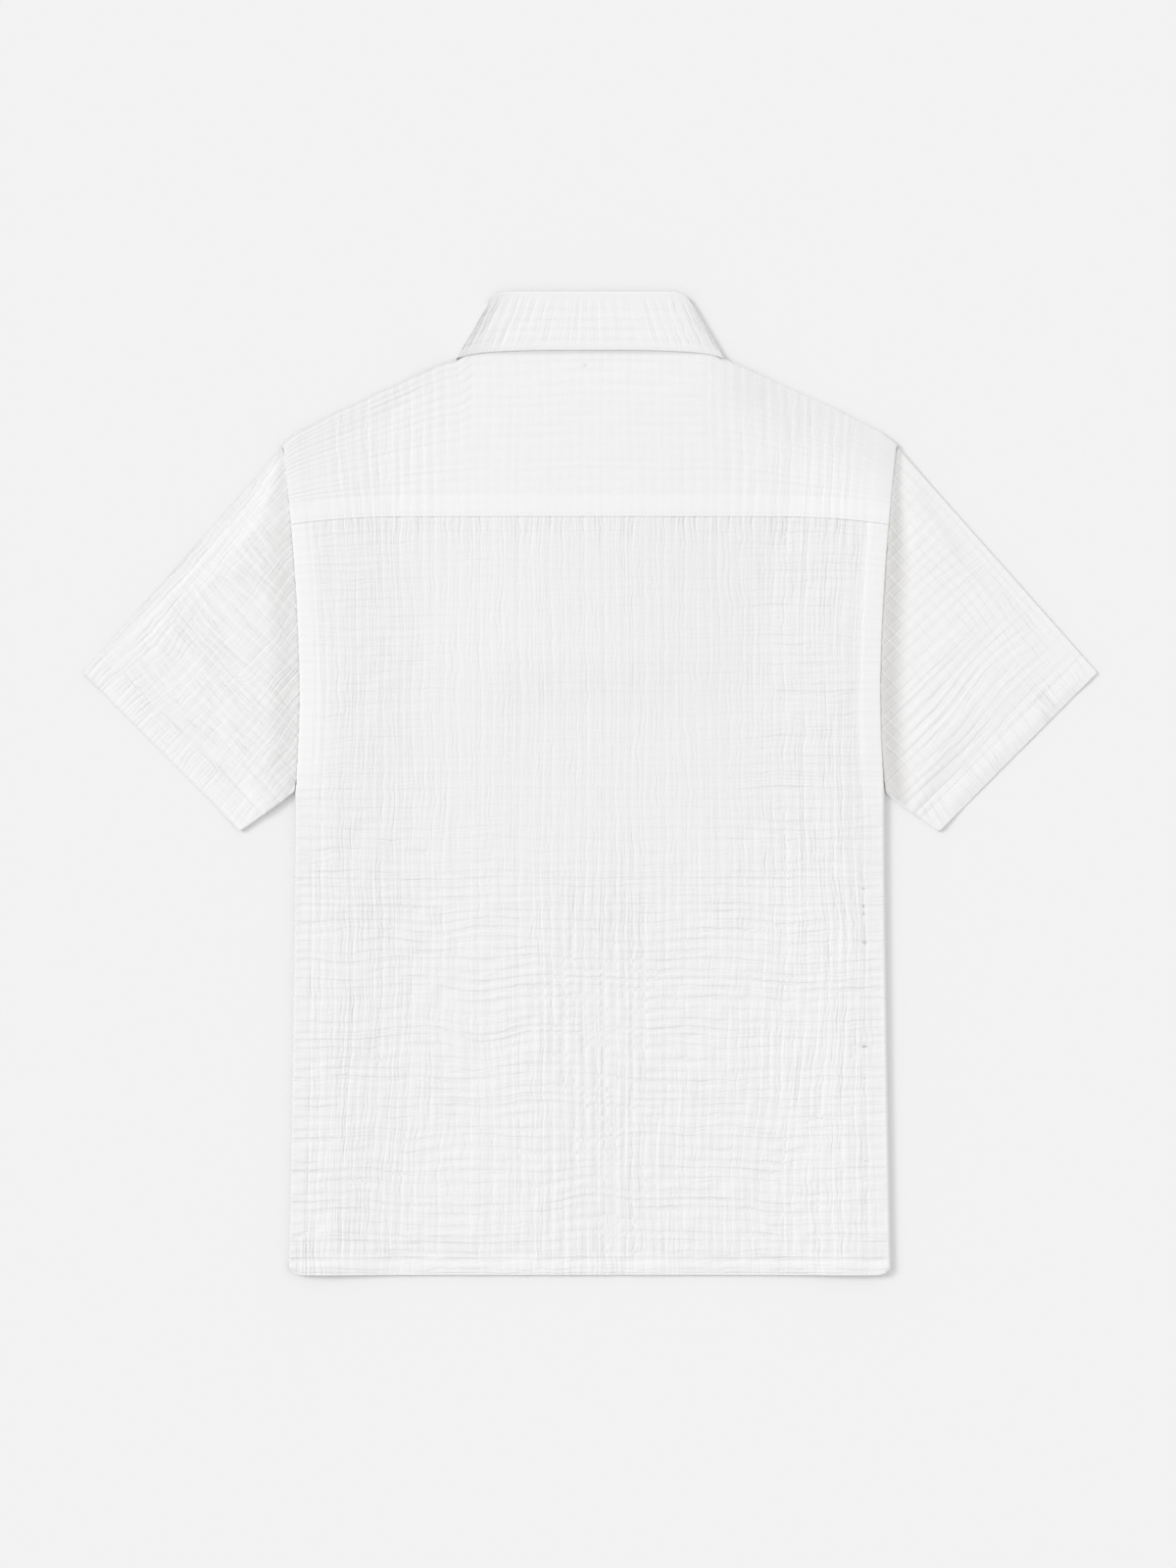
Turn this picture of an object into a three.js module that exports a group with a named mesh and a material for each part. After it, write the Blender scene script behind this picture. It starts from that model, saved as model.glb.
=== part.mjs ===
import * as THREE from 'three';

// A short-sleeved polo shirt in crinkled double gauze, laid flat and face down. Millimetres.
// +Y runs from the hem to the collar, +Z from the table up through the front to the back, and x = 0 is
// the centre back line. The shirt is alike on both sides, so most shapes are given for +X only.

// Driving sizes
const HEM_Y = -394.5;                              // bottom of the shirt, 789 below the collar fold
const COLLAR_FOLD_Y = 394.4;
const CHEST_X = 240;                               // half the width of the body, as columns are named
const UNDERARM_Y = -8;
const ARMHOLE_TOP = { x: 246, y: 270.4 };
const ARMHOLE_WAIST = { x: 233, y: 75 };           // where the armholes come closest
const YOKE_SEAM_Y = 214;
const FRONT_SEAM = { neckX: 95.5, neckY: 321.5, armholeY: 241 };   // where the yoke ends on the front
const SLEEVE_HEM = { outerX: 407.3, outerY: 88.9, innerX: 279.8, innerY: -39.7 };
const PLACKET = { halfWidth: 15, bottomY: 128, topY: 278.5, inset: 1, tuck: 7 };
const BUTTON = { radius: 5.6, thickness: 1.9, holeRadius: 0.9, holeSpread: 1.5, sides: 24, holeSides: 8 };
const BUTTON_Y = [292, 235, 178];

// The cloth and how its layers lie
const CLOTH = 1.2;                                 // two layers of gauze with their crinkle
const SEAM_GAP = 0.3;
const LAYER = 1.6;                                 // from one laid panel to the next
const BODY_HEM = 15;
const SLEEVE_HEM_BAND = 20;
const HEM_EXTRA = 0.7;                             // the turned cloth inside a hem
const HEM_STEP = 2.5;                              // the hem thins out over this length
const SEAM_BAND = { width: 14, height: 0.5 };      // seam allowance pressed under a top-stitched edge
const RIB_HEIGHT = 0.8;                            // the largest crinkles
const ROLL_RADIUS = 2.8;                           // outside of the roll along a side seam
const BUTTON_LIFT = 2.2;                           // the placket lies on its buttons
const UNDERARM_TURN = 12;                          // the seam's roll ends this far above the underarm

const COTTON = new THREE.MeshStandardMaterial({ color: 0xf3f3f1, roughness: 0.92, metalness: 0 });
const BUTTON_RESIN = new THREE.MeshStandardMaterial({ color: 0xefece4, roughness: 0.35, metalness: 0 });

const { lerp, degToRad } = THREE.MathUtils;
const rise = (x, from, to) => THREE.MathUtils.smoothstep(x, from, to);
const fall = (x, from, to) => 1 - rise(x, from, to);

/** Straight-line reading of a table of x and y: the y for a place along x. */
function readTable(table, place) {
  const next = table.findIndex((row) => row.x >= place);
  if (next === 0) return table[0].y;
  if (next < 0) return table[table.length - 1].y;
  const [a, b] = [table[next - 1], table[next]];
  return lerp(a.y, b.y, (place - a.x) / (b.x - a.x));
}

/**
 * A closed wall of cloth with a fine outer face and a plain inner one. Both faces have the same rows.
 * The inner face keeps only the columns listed in plain, and a rim joins the two along each edge.
 * has(i, j) says whether there is cloth between rows i, i + 1 and columns j, j + 1.
 */
function clothWall({ rows, columns, plain, outer, inner, closed = false, has = () => true }) {
  const points = [];
  const numbers = new Map();
  const number = (face, i, column) => {
    const j = column % columns;
    const key = [face.name, i, j].join();
    if (!numbers.has(key)) {
      numbers.set(key, points.length / 3);
      points.push(...face.at(i, j).toArray());
    }
    return numbers.get(key);
  };
  const fine = { name: 'outer', at: outer };
  const smooth = { name: 'inner', at: inner };
  const triangles = [];
  const quad = (a, b, c, d) => triangles.push([a, b, c], [a, c, d]);

  const ends = closed ? [...plain, columns] : plain;
  const strips = ends.slice(1).map((to, k) => ({ from: ends[k], to }));
  const isCloth = (i, strip) => i >= 0 && i < rows - 1 && strip !== undefined && has(i, strip.from);
  const beside = (k, step) => {
    const next = k + step;
    return strips[closed ? (next + strips.length) % strips.length : next];
  };

  for (let i = 0; i < rows - 1; i += 1) {
    for (const [k, strip] of strips.entries()) {
      if (!isCloth(i, strip)) continue;
      const { from, to } = strip;
      const corner = { start: number(smooth, i, from), end: number(smooth, i, to) };
      const above = { start: number(smooth, i + 1, from), end: number(smooth, i + 1, to) };
      quad(corner.start, above.start, above.end, corner.end);
      const startEdge = !isCloth(i - 1, strip);
      const endEdge = !isCloth(i + 1, strip);
      for (let j = from; j < to; j += 1) {
        const [a, b] = [number(fine, i, j), number(fine, i, j + 1)];
        const [c, d] = [number(fine, i + 1, j + 1), number(fine, i + 1, j)];
        quad(a, b, c, d);
        if (startEdge) triangles.push([b, a, corner.start]);
        if (endEdge) triangles.push([d, c, above.start]);
      }
      if (startEdge) triangles.push([number(fine, i, to), corner.start, corner.end]);
      if (endEdge) triangles.push([above.start, number(fine, i + 1, to), above.end]);
      if (!isCloth(i, beside(k, -1))) {
        quad(number(fine, i, from), number(fine, i + 1, from), above.start, corner.start);
      }
      if (!isCloth(i, beside(k, 1))) {
        quad(number(fine, i + 1, to), number(fine, i, to), corner.end, above.end);
      }
    }
  }
  return facingOut(points, triangles);
}

/** A geometry whose triangles face out, whichever way round the rows and columns ran. */
function facingOut(points, triangles) {
  const [a, b, c] = [new THREE.Vector3(), new THREE.Vector3(), new THREE.Vector3()];
  let volume = 0;
  for (const triangle of triangles) {
    [a, b, c].forEach((corner, k) => corner.fromArray(points, 3 * triangle[k]));
    volume += a.dot(b.cross(c));
  }
  const turned = volume < 0 ? triangles.map((triangle) => triangle.toReversed()) : triangles;
  const geometry = new THREE.BufferGeometry();
  geometry.setAttribute('position', new THREE.Float32BufferAttribute(points, 3));
  geometry.setIndex(turned.flat());
  geometry.computeVertexNormals();
  return geometry;
}

// Outline of the body

const SHOULDER_FOLD = [                            // middle line of the fold along the shoulder
  { x: 95.5, y: 349.5 },
  { x: 101, y: 343.5 },
  { x: 107.2, y: 338.5 },
  { x: 118.4, y: 335.6 },
  { x: 134.2, y: 328.5 },
  { x: 201.9, y: 296.4 },
  { x: 232.9, y: 280.2 },
  { x: ARMHOLE_TOP.x, y: ARMHOLE_TOP.y },
];
const NECK_SIDE = SHOULDER_FOLD[0];
const FRONT_NECKLINE = [
  { x: 15.3, y: 278.5 },
  { x: 46, y: 280.5 },
  { x: 70, y: 287.5 },
  { x: 86, y: 299.5 },
  { x: 93, y: 311 },
  { x: FRONT_SEAM.neckX, y: FRONT_SEAM.neckY - SEAM_GAP },
];
const BACK_NECKLINE = { middleY: 352, drop: 2.5 };

const shoulderY = (x) => readTable(SHOULDER_FOLD, Math.abs(x));
const frontSeamY = (x) => lerp(FRONT_SEAM.neckY, FRONT_SEAM.armholeY,
  (Math.abs(x) - FRONT_SEAM.neckX) / (CHEST_X - FRONT_SEAM.neckX));
const backNeckY = (x) => BACK_NECKLINE.middleY - BACK_NECKLINE.drop * (x / NECK_SIDE.x) ** 2;

/** Half the width of the body: the side seam below the underarm, the armhole above it. */
function sideAt(y) {
  const underarmX = 236.5;
  const hemX = 241.8;
  const bend = { seam: 1.5, belowWaist: 2, aboveWaist: 1.7 };
  const waist = ARMHOLE_WAIST;
  if (y < UNDERARM_Y) {
    const down = (UNDERARM_Y - y) / (UNDERARM_Y - HEM_Y);
    return lerp(underarmX, hemX, down ** bend.seam);
  }
  if (y < waist.y) {
    const down = (waist.y - y) / (waist.y - UNDERARM_Y);
    return lerp(waist.x, underarmX, down ** bend.belowWaist);
  }
  const up = Math.min((y - waist.y) / (ARMHOLE_TOP.y - waist.y), 1);
  return lerp(waist.x, ARMHOLE_TOP.x, up ** bend.aboveWaist);
}

/** Columns near the centre run straight up the body, those near the side follow its edge. */
function columnX(x0, y) {
  const centre = 100;
  return x0 + Math.sign(x0) * (sideAt(y) - CHEST_X) * rise(Math.abs(x0), centre, CHEST_X);
}

/** The yoke seam is straight across the back and dips towards the armholes. */
function yokeSeamY(x) {
  const straight = 150;
  const dip = 6.5;
  return YOKE_SEAM_Y - dip * Math.max(0, (Math.abs(x) - straight) / (CHEST_X - straight)) ** 2;
}

/** Unit normal of the shoulder fold, pointing away from the body. */
function shoulderNormal(x) {
  const step = 6;
  const at = Math.min(Math.max(Math.abs(x), NECK_SIDE.x + step), ARMHOLE_TOP.x - step);
  const slope = (shoulderY(at + step) - shoulderY(at - step)) / (2 * step);
  return new THREE.Vector2(-slope * Math.sign(x), 1).normalize();
}

// How high the layers lie

const MOUNDS = {                                   // raised from y to fullY, and from x = far in to near
  frontOverCollar: { lift: LAYER, y: 190, fullY: 226, near: 124, far: 165 },
  frontOverButtons: { lift: BUTTON_LIFT, y: 96, fullY: 122, near: 20, far: 46 },
  backOverCollar: { lift: LAYER, y: 150, fullY: 226, near: 124, far: 190 },
  backOverPlacket: { lift: BUTTON_LIFT + LAYER, y: 50, fullY: 105, near: 24, far: 150 },
};
const PLACKET_MOUND_END = { y: 312, flatY: 342 };

function moundHeight(mound, x, y) {
  return mound.lift * rise(y, mound.y, mound.fullY) * fall(Math.abs(x), mound.near, mound.far);
}

/** Underside of the front: on the table, and raised over the collar points and the buttons. */
function frontLow(x, y) {
  return Math.max(moundHeight(MOUNDS.frontOverCollar, x, y), moundHeight(MOUNDS.frontOverButtons, x, y));
}

/** How far the back is held up by what lies under it, above its lowest place on the front. */
function backLift(x, y) {
  const end = PLACKET_MOUND_END;
  const overPlacket = moundHeight(MOUNDS.backOverPlacket, x, y) * fall(y, end.y, end.flatY);
  return Math.max(moundHeight(MOUNDS.backOverCollar, x, y), overPlacket);
}

/** Fullness beside the side seam, where the cloth rolls over, and beside the armhole. */
function sideLift(fromSide, y) {
  const besideSeam = 2 * ROLL_RADIUS - CLOTH - LAYER;
  const reach = 50;
  const seam = besideSeam * fall(fromSide, ROLL_RADIUS, reach);
  const ridge = { edge: 2.4, top: 3, from: 12 };
  const outside = lerp(ridge.edge, ridge.top, rise(fromSide, 0, ridge.from));
  const inside = ridge.top * fall(fromSide, ridge.from, reach);
  const armhole = fromSide < ridge.from ? outside : inside;
  return lerp(seam, armhole, rise(y, UNDERARM_Y, UNDERARM_Y + UNDERARM_TURN));
}

/** Fullness below the shoulder fold, which is flat at the neck and round at the shoulder. */
function shoulderLift(x, y) {
  const fullness = 2.2;
  const reach = 50;
  const flatTo = 112;
  const fullFrom = 175;
  const below = shoulderY(Math.max(Math.abs(x), NECK_SIDE.x)) - y;
  return fullness * fall(below, 0, reach) * rise(Math.abs(x), flatTo, fullFrom);
}

/** Underside of the back and the yoke. */
function backLow(x, y, fromSide) {
  return LAYER + Math.max(backLift(x, y), sideLift(fromSide, y), shoulderLift(x, y));
}

// Columns shared by the back and the yoke, so that their seam fits

const EDGE_COLUMNS = [                             // distance from the side, and turn of the rolled seam
  { away: 0, turn: 90 },
  { away: 1, turn: 60 },
  { away: 2, turn: 30 },
  { away: ROLL_RADIUS, turn: 0 },
  { away: 8 },
  { away: SEAM_BAND.width },
];
const RIB_SPANS = [                                // crinkled width, two columns to each rib
  { from: -NECK_SIDE.x, to: NECK_SIDE.x, cells: 30 },
  { from: NECK_SIDE.x, to: 223, cells: 24 },
];
const PLAIN_STEP = 6;                              // the inner face skips the columns between

/** Columns from the left side to the right, each with its x0, distance from the side and rib. */
function bodyColumns() {
  const [middle, flank] = RIB_SPANS;
  const ribbed = (span, first) => Array.from({ length: span.cells + 1 - first }, (_, k) => ({
    x0: lerp(span.from, span.to, (k + first) / span.cells),
    crest: (k + first) % 2 === 1,
    plain: (k + first) % PLAIN_STEP === 0,
  }));
  const edge = EDGE_COLUMNS.map((column) => ({ ...column, x0: CHEST_X - column.away, plain: true }));
  const right = [...ribbed(flank, 1), ...edge.reverse()];
  const left = right.map((column) => ({ ...column, x0: -column.x0 })).reverse();
  return [...left, ...ribbed(middle, 0), ...right];
}

const COLUMNS = bodyColumns();
const columnAt = (x0) => COLUMNS.findIndex((column) => Math.abs(column.x0 - x0) < SEAM_GAP);
const plainOf = (columns) => columns.flatMap((column, j) => (column.plain ? [j] : []));

/** Height of a crinkle, uneven along its length and from one to the next. */
function ribHeight(column, i, j) {
  const unevenness = 0.35;
  const [alongStep, acrossStep] = [2.3, 1.9];
  const share = 1 - unevenness + unevenness * Math.sin(acrossStep * j + alongStep * i);
  return column.crest ? RIB_HEIGHT * share : 0;
}

/** A point on the roll beside the side seam. up is 1 for the back and -1 for the front. */
function rollPoint(column, y, radius, up) {
  const angle = degToRad(column.turn);
  const away = ROLL_RADIUS - radius * Math.sin(angle);
  const height = ROLL_RADIUS + up * Math.max(radius * Math.cos(angle), SEAM_GAP / 2);
  return new THREE.Vector3(Math.sign(column.x0) * (sideAt(y) - away), y, height);
}

const isRolled = (column, y) => column.turn !== undefined && y <= UNDERARM_Y;
const fromSideAt = (x, y) => Math.max(sideAt(y) - Math.abs(x), 0);

/** The corners of the hem are a little round. */
function hemRound(x) {
  const start = 226;
  const height = 4;
  return height * Math.max(0, (Math.abs(x) - start) / (CHEST_X - start)) ** 2;
}

// Back panel

const BACK_ROWS = [
  HEM_Y, HEM_Y + BODY_HEM, HEM_Y + BODY_HEM + HEM_STEP,
  -330, -275, -215, -155, -95, -35, UNDERARM_Y, UNDERARM_Y + UNDERARM_TURN, 50, 105, 160,
  YOKE_SEAM_Y - SEAM_GAP / 2,
];
const DIP_FROM = 100;                              // rows above this y follow the dip of the yoke seam

function backPanel() {
  const place = (i, j) => {
    const column = COLUMNS[j];
    const row = BACK_ROWS[i];
    const atSeam = (yokeSeamY(column.x0) - YOKE_SEAM_Y) * rise(row, DIP_FROM, YOKE_SEAM_Y);
    const y = row + atSeam + (i === 0 ? hemRound(column.x0) : 0);
    const x = columnX(column.x0, y);
    const inHem = i <= 1 ? 1 : 0;
    const lift = Math.max(backLow(x, y, fromSideAt(x, y)) - LAYER, 2 * HEM_EXTRA * inHem);
    return { column, x, y, inHem, top: LAYER + CLOTH + lift };
  };
  return clothWall({
    rows: BACK_ROWS.length,
    columns: COLUMNS.length,
    plain: plainOf(COLUMNS),
    outer: (i, j) => {
      const { column, x, y, top } = place(i, j);
      if (isRolled(column, y)) return rollPoint(column, y, ROLL_RADIUS, 1);
      const ribbed = i > 2 && i < BACK_ROWS.length - 1;
      const band = y > UNDERARM_Y && column.crest === undefined ? SEAM_BAND.height : 0;
      return new THREE.Vector3(x, y, top + band + (ribbed ? ribHeight(column, i, j) : 0));
    },
    inner: (i, j) => {
      const { column, x, y, inHem, top } = place(i, j);
      const wall = CLOTH + HEM_EXTRA * inHem;
      if (isRolled(column, y)) return rollPoint(column, y, ROLL_RADIUS - wall, 1);
      return new THREE.Vector3(x, y, top - wall);
    },
  });
}

// Yoke, from the back seam up to the neckline and round the shoulders

const YOKE_ROWS = [
  { up: 0, band: true },
  { above: SEAM_BAND.width, band: true },
  { above: SEAM_BAND.width + HEM_STEP, ribbed: true },
  { up: 0.4, ribbed: true },
  { up: 0.7, ribbed: true },
  { turn: 0 },
  { turn: 60 },
  { turn: 120 },
  { turn: 180 },
  { under: 0.45 },
  { under: 1 },
];
const FOLD_ROW = YOKE_ROWS.findIndex((row) => row.turn === 0);

function yoke() {
  const place = (i, j, radial) => {
    const column = COLUMNS[j];
    const row = YOKE_ROWS[i];
    const topX = columnX(column.x0, ARMHOLE_TOP.y);
    const isNeck = Math.abs(column.x0) < NECK_SIDE.x;
    const topY = isNeck ? backNeckY(topX) : shoulderY(topX);
    const seamY = yokeSeamY(column.x0) + SEAM_GAP / 2;
    let y = lerp(topY, frontSeamY(topX), row.under ?? 0);
    if (row.above !== undefined) y = seamY + row.above;
    if (row.up !== undefined) y = lerp(seamY, topY, row.up);
    const x = columnX(column.x0, y);
    if (row.turn > 0) {
      const topMiddle = backLow(x, y, fromSideAt(x, y)) + CLOTH / 2;
      const underMiddle = frontLow(x, y) + CLOTH / 2;
      const radius = (topMiddle - underMiddle) / 2 + radial;
      const outward = shoulderNormal(x).multiplyScalar(radius * Math.sin(degToRad(row.turn)));
      const height = (topMiddle + underMiddle) / 2 + radius * Math.cos(degToRad(row.turn));
      return new THREE.Vector3(x + outward.x, y + outward.y, height);
    }
    const isUnder = row.under !== undefined;
    const low = isUnder ? frontLow(x, y) : backLow(x, y, fromSideAt(x, y));
    const height = low + CLOTH / 2 + (isUnder ? -radial : radial);
    return new THREE.Vector3(x, y, height);
  };
  return clothWall({
    rows: YOKE_ROWS.length,
    columns: COLUMNS.length,
    plain: plainOf(COLUMNS),
    has: (i, j) => i < FOLD_ROW || j < columnAt(-NECK_SIDE.x) || j >= columnAt(NECK_SIDE.x),
    outer: (i, j) => {
      const row = YOKE_ROWS[i];
      const column = COLUMNS[j];
      const point = place(i, j, CLOTH / 2);
      const besideArmhole = i < FOLD_ROW && column.crest === undefined;
      if (row.band || besideArmhole) point.z += SEAM_BAND.height;
      else if (row.ribbed) point.z += ribHeight(column, i, j);
      return point;
    },
    inner: (i, j) => place(i, j, -CLOTH / 2),
  });
}

// Front, plain underneath because it rests on the table

const FRONT_COLUMNS = [                            // from the slit of the placket to the side
  { x0: PLACKET.halfWidth + SEAM_GAP },
  ...[46, 70, 86, 93, FRONT_SEAM.neckX, 124, 165, 205].map((x0) => ({ x0 })),
  { x0: CHEST_X - 8 },
  ...EDGE_COLUMNS.filter((column) => column.turn !== undefined)
    .map((column) => ({ ...column, x0: CHEST_X - column.away })).reverse(),
];
const FRONT_ROWS = [
  { y: HEM_Y },
  { y: HEM_Y + BODY_HEM },
  { y: HEM_Y + BODY_HEM + HEM_STEP },
  { y: -275 },
  { y: -155 },
  { y: -35 },
  { y: UNDERARM_Y },
  { y: UNDERARM_Y + UNDERARM_TURN },
  { y: 60 },
  { y: 96 },
  { y: PLACKET.bottomY - SEAM_GAP },
  ...[0.3, 0.5, 0.75, 1].map((up) => ({ up })),
];
const SLIT_ROW = FRONT_ROWS.findIndex((row) => row.y === PLACKET.bottomY - SEAM_GAP);

function front() {
  const left = FRONT_COLUMNS.map((column) => ({ ...column, x0: -column.x0 })).reverse();
  const columns = [...left, ...FRONT_COLUMNS];
  const topY = (x) => (Math.abs(x) <= NECK_SIDE.x
    ? readTable(FRONT_NECKLINE, Math.abs(x))
    : frontSeamY(x) - SEAM_GAP);
  const place = (i, j) => {
    const column = columns[j];
    const row = FRONT_ROWS[i];
    const topX = columnX(column.x0, ARMHOLE_TOP.y);
    const y = row.y !== undefined
      ? row.y + (i === 0 ? hemRound(column.x0) : 0)
      : lerp(FRONT_ROWS[SLIT_ROW].y, topY(topX), row.up);
    return { column, y, x: columnX(column.x0, y), wall: CLOTH + (i <= 1 ? HEM_EXTRA : 0) };
  };
  return clothWall({
    rows: FRONT_ROWS.length,
    columns: columns.length,
    plain: columns.map((_, j) => j),
    has: (i, j) => i < SLIT_ROW || j !== left.length - 1,
    outer: (i, j) => {
      const { column, x, y } = place(i, j);
      if (isRolled(column, y)) return rollPoint(column, y, ROLL_RADIUS, -1);
      return new THREE.Vector3(x, y, frontLow(x, y));
    },
    inner: (i, j) => {
      const { column, x, y, wall } = place(i, j);
      if (isRolled(column, y)) return rollPoint(column, y, ROLL_RADIUS - wall, -1);
      return new THREE.Vector3(x, y, frontLow(x, y) + wall);
    },
  });
}

// Sleeves, each a flattened tube from the armhole to the cuff hem

const SLEEVE_ROLL = { atArmhole: 1.25, atHem: 1.9 };   // radius of the folds along top and underarm
const SLEEVE_SAG = 1.2;                                // the middle lies lower than the folds
const SAG_FROM_FOLD = 0.25;                            // share of the width over which it sags
const THIN_FROM = 0.8;                                 // past this share of its length it thins out
const SLEEVE_RIBS = 14;
const SLEEVE_TOP_NORMAL = new THREE.Vector2(0.7506, 0.6608);
const SLEEVE_UNDER_NORMAL = new THREE.Vector2(-0.594, -0.805);
const SLEEVE_HEAD = { topY: 268.7, underY: -6 };
const HEAD_CLEARANCE = { seam: 0.4, yoke: 1.6, yokeFromY: 245, side: 1.4 };   // to the body
const SLEEVE_ROWS = [                                  // from the hem towards the armhole
  { fromHem: 0, hem: true },
  { fromHem: SLEEVE_HEM_BAND, hem: true },
  { fromHem: SLEEVE_HEM_BAND + HEM_STEP, hem: false },
  ...[0.25, 0.5, 0.75, 0.92, 1].map((toArmhole) => ({ toArmhole, hem: false })),
];

/** Columns once round the sleeve: over the top, the underarm fold, underneath, the top fold. */
function sleeveColumns() {
  const cells = 2 * SLEEVE_RIBS;
  const plainStep = 7;
  const over = Array.from({ length: cells + 1 }, (_, k) => (
    { across: k / cells, turn: 0, crest: k % 2 === 1, plain: k % plainStep === 0 }
  ));
  const underarm = [60, 120].map((turn) => ({ across: 1, turn, plain: true }));
  const under = [1, 2 / 3, 1 / 3, 0].map((across) => ({ across, turn: 180, plain: true }));
  const topFold = [120, 60].map((turn) => ({ across: 0, turn, plain: true }));
  return [...over, ...underarm, ...under, ...topFold];
}

/** The end of the sleeve beside the armhole, clear of the rolled folds of the yoke and the side. */
function sleeveHead(across) {
  const { topY, underY } = SLEEVE_HEAD;
  const { seam, yoke: atYoke, yokeFromY, side: atSide } = HEAD_CLEARANCE;
  const y = lerp(topY, underY, across);
  const besideYoke = atYoke * rise(y, yokeFromY, topY);
  const besideSeam = atSide * fall(y, underY, underY + UNDERARM_TURN);
  return new THREE.Vector2(sideAt(y) + seam + besideYoke + besideSeam, y);
}

function sleeve(side) {
  const columns = sleeveColumns();
  const inset = SLEEVE_ROLL.atHem + CLOTH / 2;
  const { outerX, outerY, innerX, innerY } = SLEEVE_HEM;
  const hemTop = new THREE.Vector2(outerX, outerY).addScaledVector(SLEEVE_TOP_NORMAL, -inset);
  const hemUnder = new THREE.Vector2(innerX, innerY).addScaledVector(SLEEVE_UNDER_NORMAL, -inset);

  const place = (i, j, radial, hemWall) => {
    const { across, turn } = columns[j];
    const row = SLEEVE_ROWS[i];
    const hem = hemTop.clone().lerp(hemUnder, across);
    const arm = sleeveHead(across);
    const length = hem.distanceTo(arm);
    const hemShare = (SLEEVE_HEM_BAND + HEM_STEP) / length;
    const share = row.fromHem !== undefined ? row.fromHem / length : lerp(hemShare, 1, row.toArmhole);
    const plan = hem.clone().lerp(arm, share);
    const radius = lerp(SLEEVE_ROLL.atHem, SLEEVE_ROLL.atArmhole, rise(share, THIN_FROM, 1));
    const fromFold = Math.min(across, 1 - across);
    const slack = SLEEVE_SAG * rise(fromFold, 0, SAG_FROM_FOLD) * fall(share, THIN_FROM, 1);
    const sag = turn === 0 ? slack : 0;
    const angle = degToRad(turn);
    const normal = across < 0.5 ? SLEEVE_TOP_NORMAL : SLEEVE_UNDER_NORMAL;
    const offset = radial - (row.hem ? hemWall : 0);
    plan.addScaledVector(normal, (radius + offset) * Math.sin(angle));
    const height = CLOTH / 2 + radius + (radius + offset) * Math.cos(angle) - sag;
    return new THREE.Vector3(side * plan.x, plan.y, height);
  };
  return clothWall({
    rows: SLEEVE_ROWS.length,
    columns: columns.length,
    plain: plainOf(columns),
    closed: true,
    outer: (i, j) => {
      const point = place(i, j, CLOTH / 2, 0);
      const ribbed = i > 2 && i < SLEEVE_ROWS.length - 1;
      if (ribbed) point.z += ribHeight(columns[j], i, j);
      return point;
    },
    inner: (i, j) => place(i, j, -CLOTH / 2, HEM_EXTRA),
  });
}

// Collar, a flattened loop from the centre back round to the centre front. turn is 0 over the back, 90 at
// the crease beside the neck and 180 on the front. The stand runs from neck to fold, the fall from fold
// to edge.

const CREASE = { turn: 0, neckX: 95.3, neckY: 349.85, foldX: 81.1, foldY: 385, edgeX: 107.1, edgeY: 340.8 };
const COLLAR = [
  { turn: 0, neckX: 0, neckY: 352.35, foldX: 0, foldY: COLLAR_FOLD_Y, edgeX: 0, edgeY: 347.5 },
  { turn: 0, neckX: 28, neckY: 352.15, foldX: 22, foldY: COLLAR_FOLD_Y, edgeX: 31, edgeY: 347.5 },
  { turn: 0, neckX: 56, neckY: 351.5, foldX: 46, foldY: COLLAR_FOLD_Y, edgeX: 62, edgeY: 346.8 },
  { turn: 0, neckX: 78, neckY: 350.7, foldX: 66, foldY: 394.2, edgeX: 86, edgeY: 345.3 },
  { turn: 0, neckX: 90, neckY: 350.2, foldX: 76, foldY: 391.6, edgeX: 100, edgeY: 343 },
  ...[0, 45, 90, 135, 180].map((turn) => ({ ...CREASE, turn })),
  { turn: 180, neckX: 95.1, neckY: 335, foldX: 74, foldY: 368, edgeX: 104, edgeY: 327 },
  { turn: 180, neckX: 95.1, neckY: 321.4, foldX: 66, foldY: 351, edgeX: 99, edgeY: 313 },
  { turn: 180, neckX: 92.7, neckY: 311.1, foldX: 57.5, foldY: 338.5, edgeX: 93, edgeY: 299 },
  { turn: 180, neckX: 85.7, neckY: 299.8, foldX: 49, foldY: 328, edgeX: 86, edgeY: 284 },
  { turn: 180, neckX: 69.8, neckY: 287.9, foldX: 39, foldY: 318.5, edgeX: 77, edgeY: 266 },
  { turn: 180, neckX: 45.9, neckY: 280.9, foldX: 27, foldY: 311, edgeX: 67, edgeY: 252 },
  { turn: 180, neckX: 15.3, neckY: 278.9, foldX: 15.5, foldY: 307.5, edgeX: 56, edgeY: 241 },
];
const STAND_TAB = [                                // the stand's two ends cross under the top button
  { turn: 180, neckX: 8.2, neckY: 278.9, foldX: 8.5, foldY: 305.5, crossing: 1 },
  { turn: 180, neckX: -7.5, neckY: 278.9, foldX: -7.2, foldY: 302, crossing: 1 },
];
const FALL_LEVEL = { back: 3 * LAYER + CLOTH / 2, front: CLOTH / 2 };
const CREASE_NORMAL = new THREE.Vector2(0.862, 0.507);
const COLLAR_RIB = 0.6;
const RIB_STATIONS = 4;                            // the back of the fall, up to this row of the table
const CELLS_A_STATION = 3;
const LIP = 4;                                     // the fall ends this far inside the fold
const FLAT_TURN = 0.01;

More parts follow.
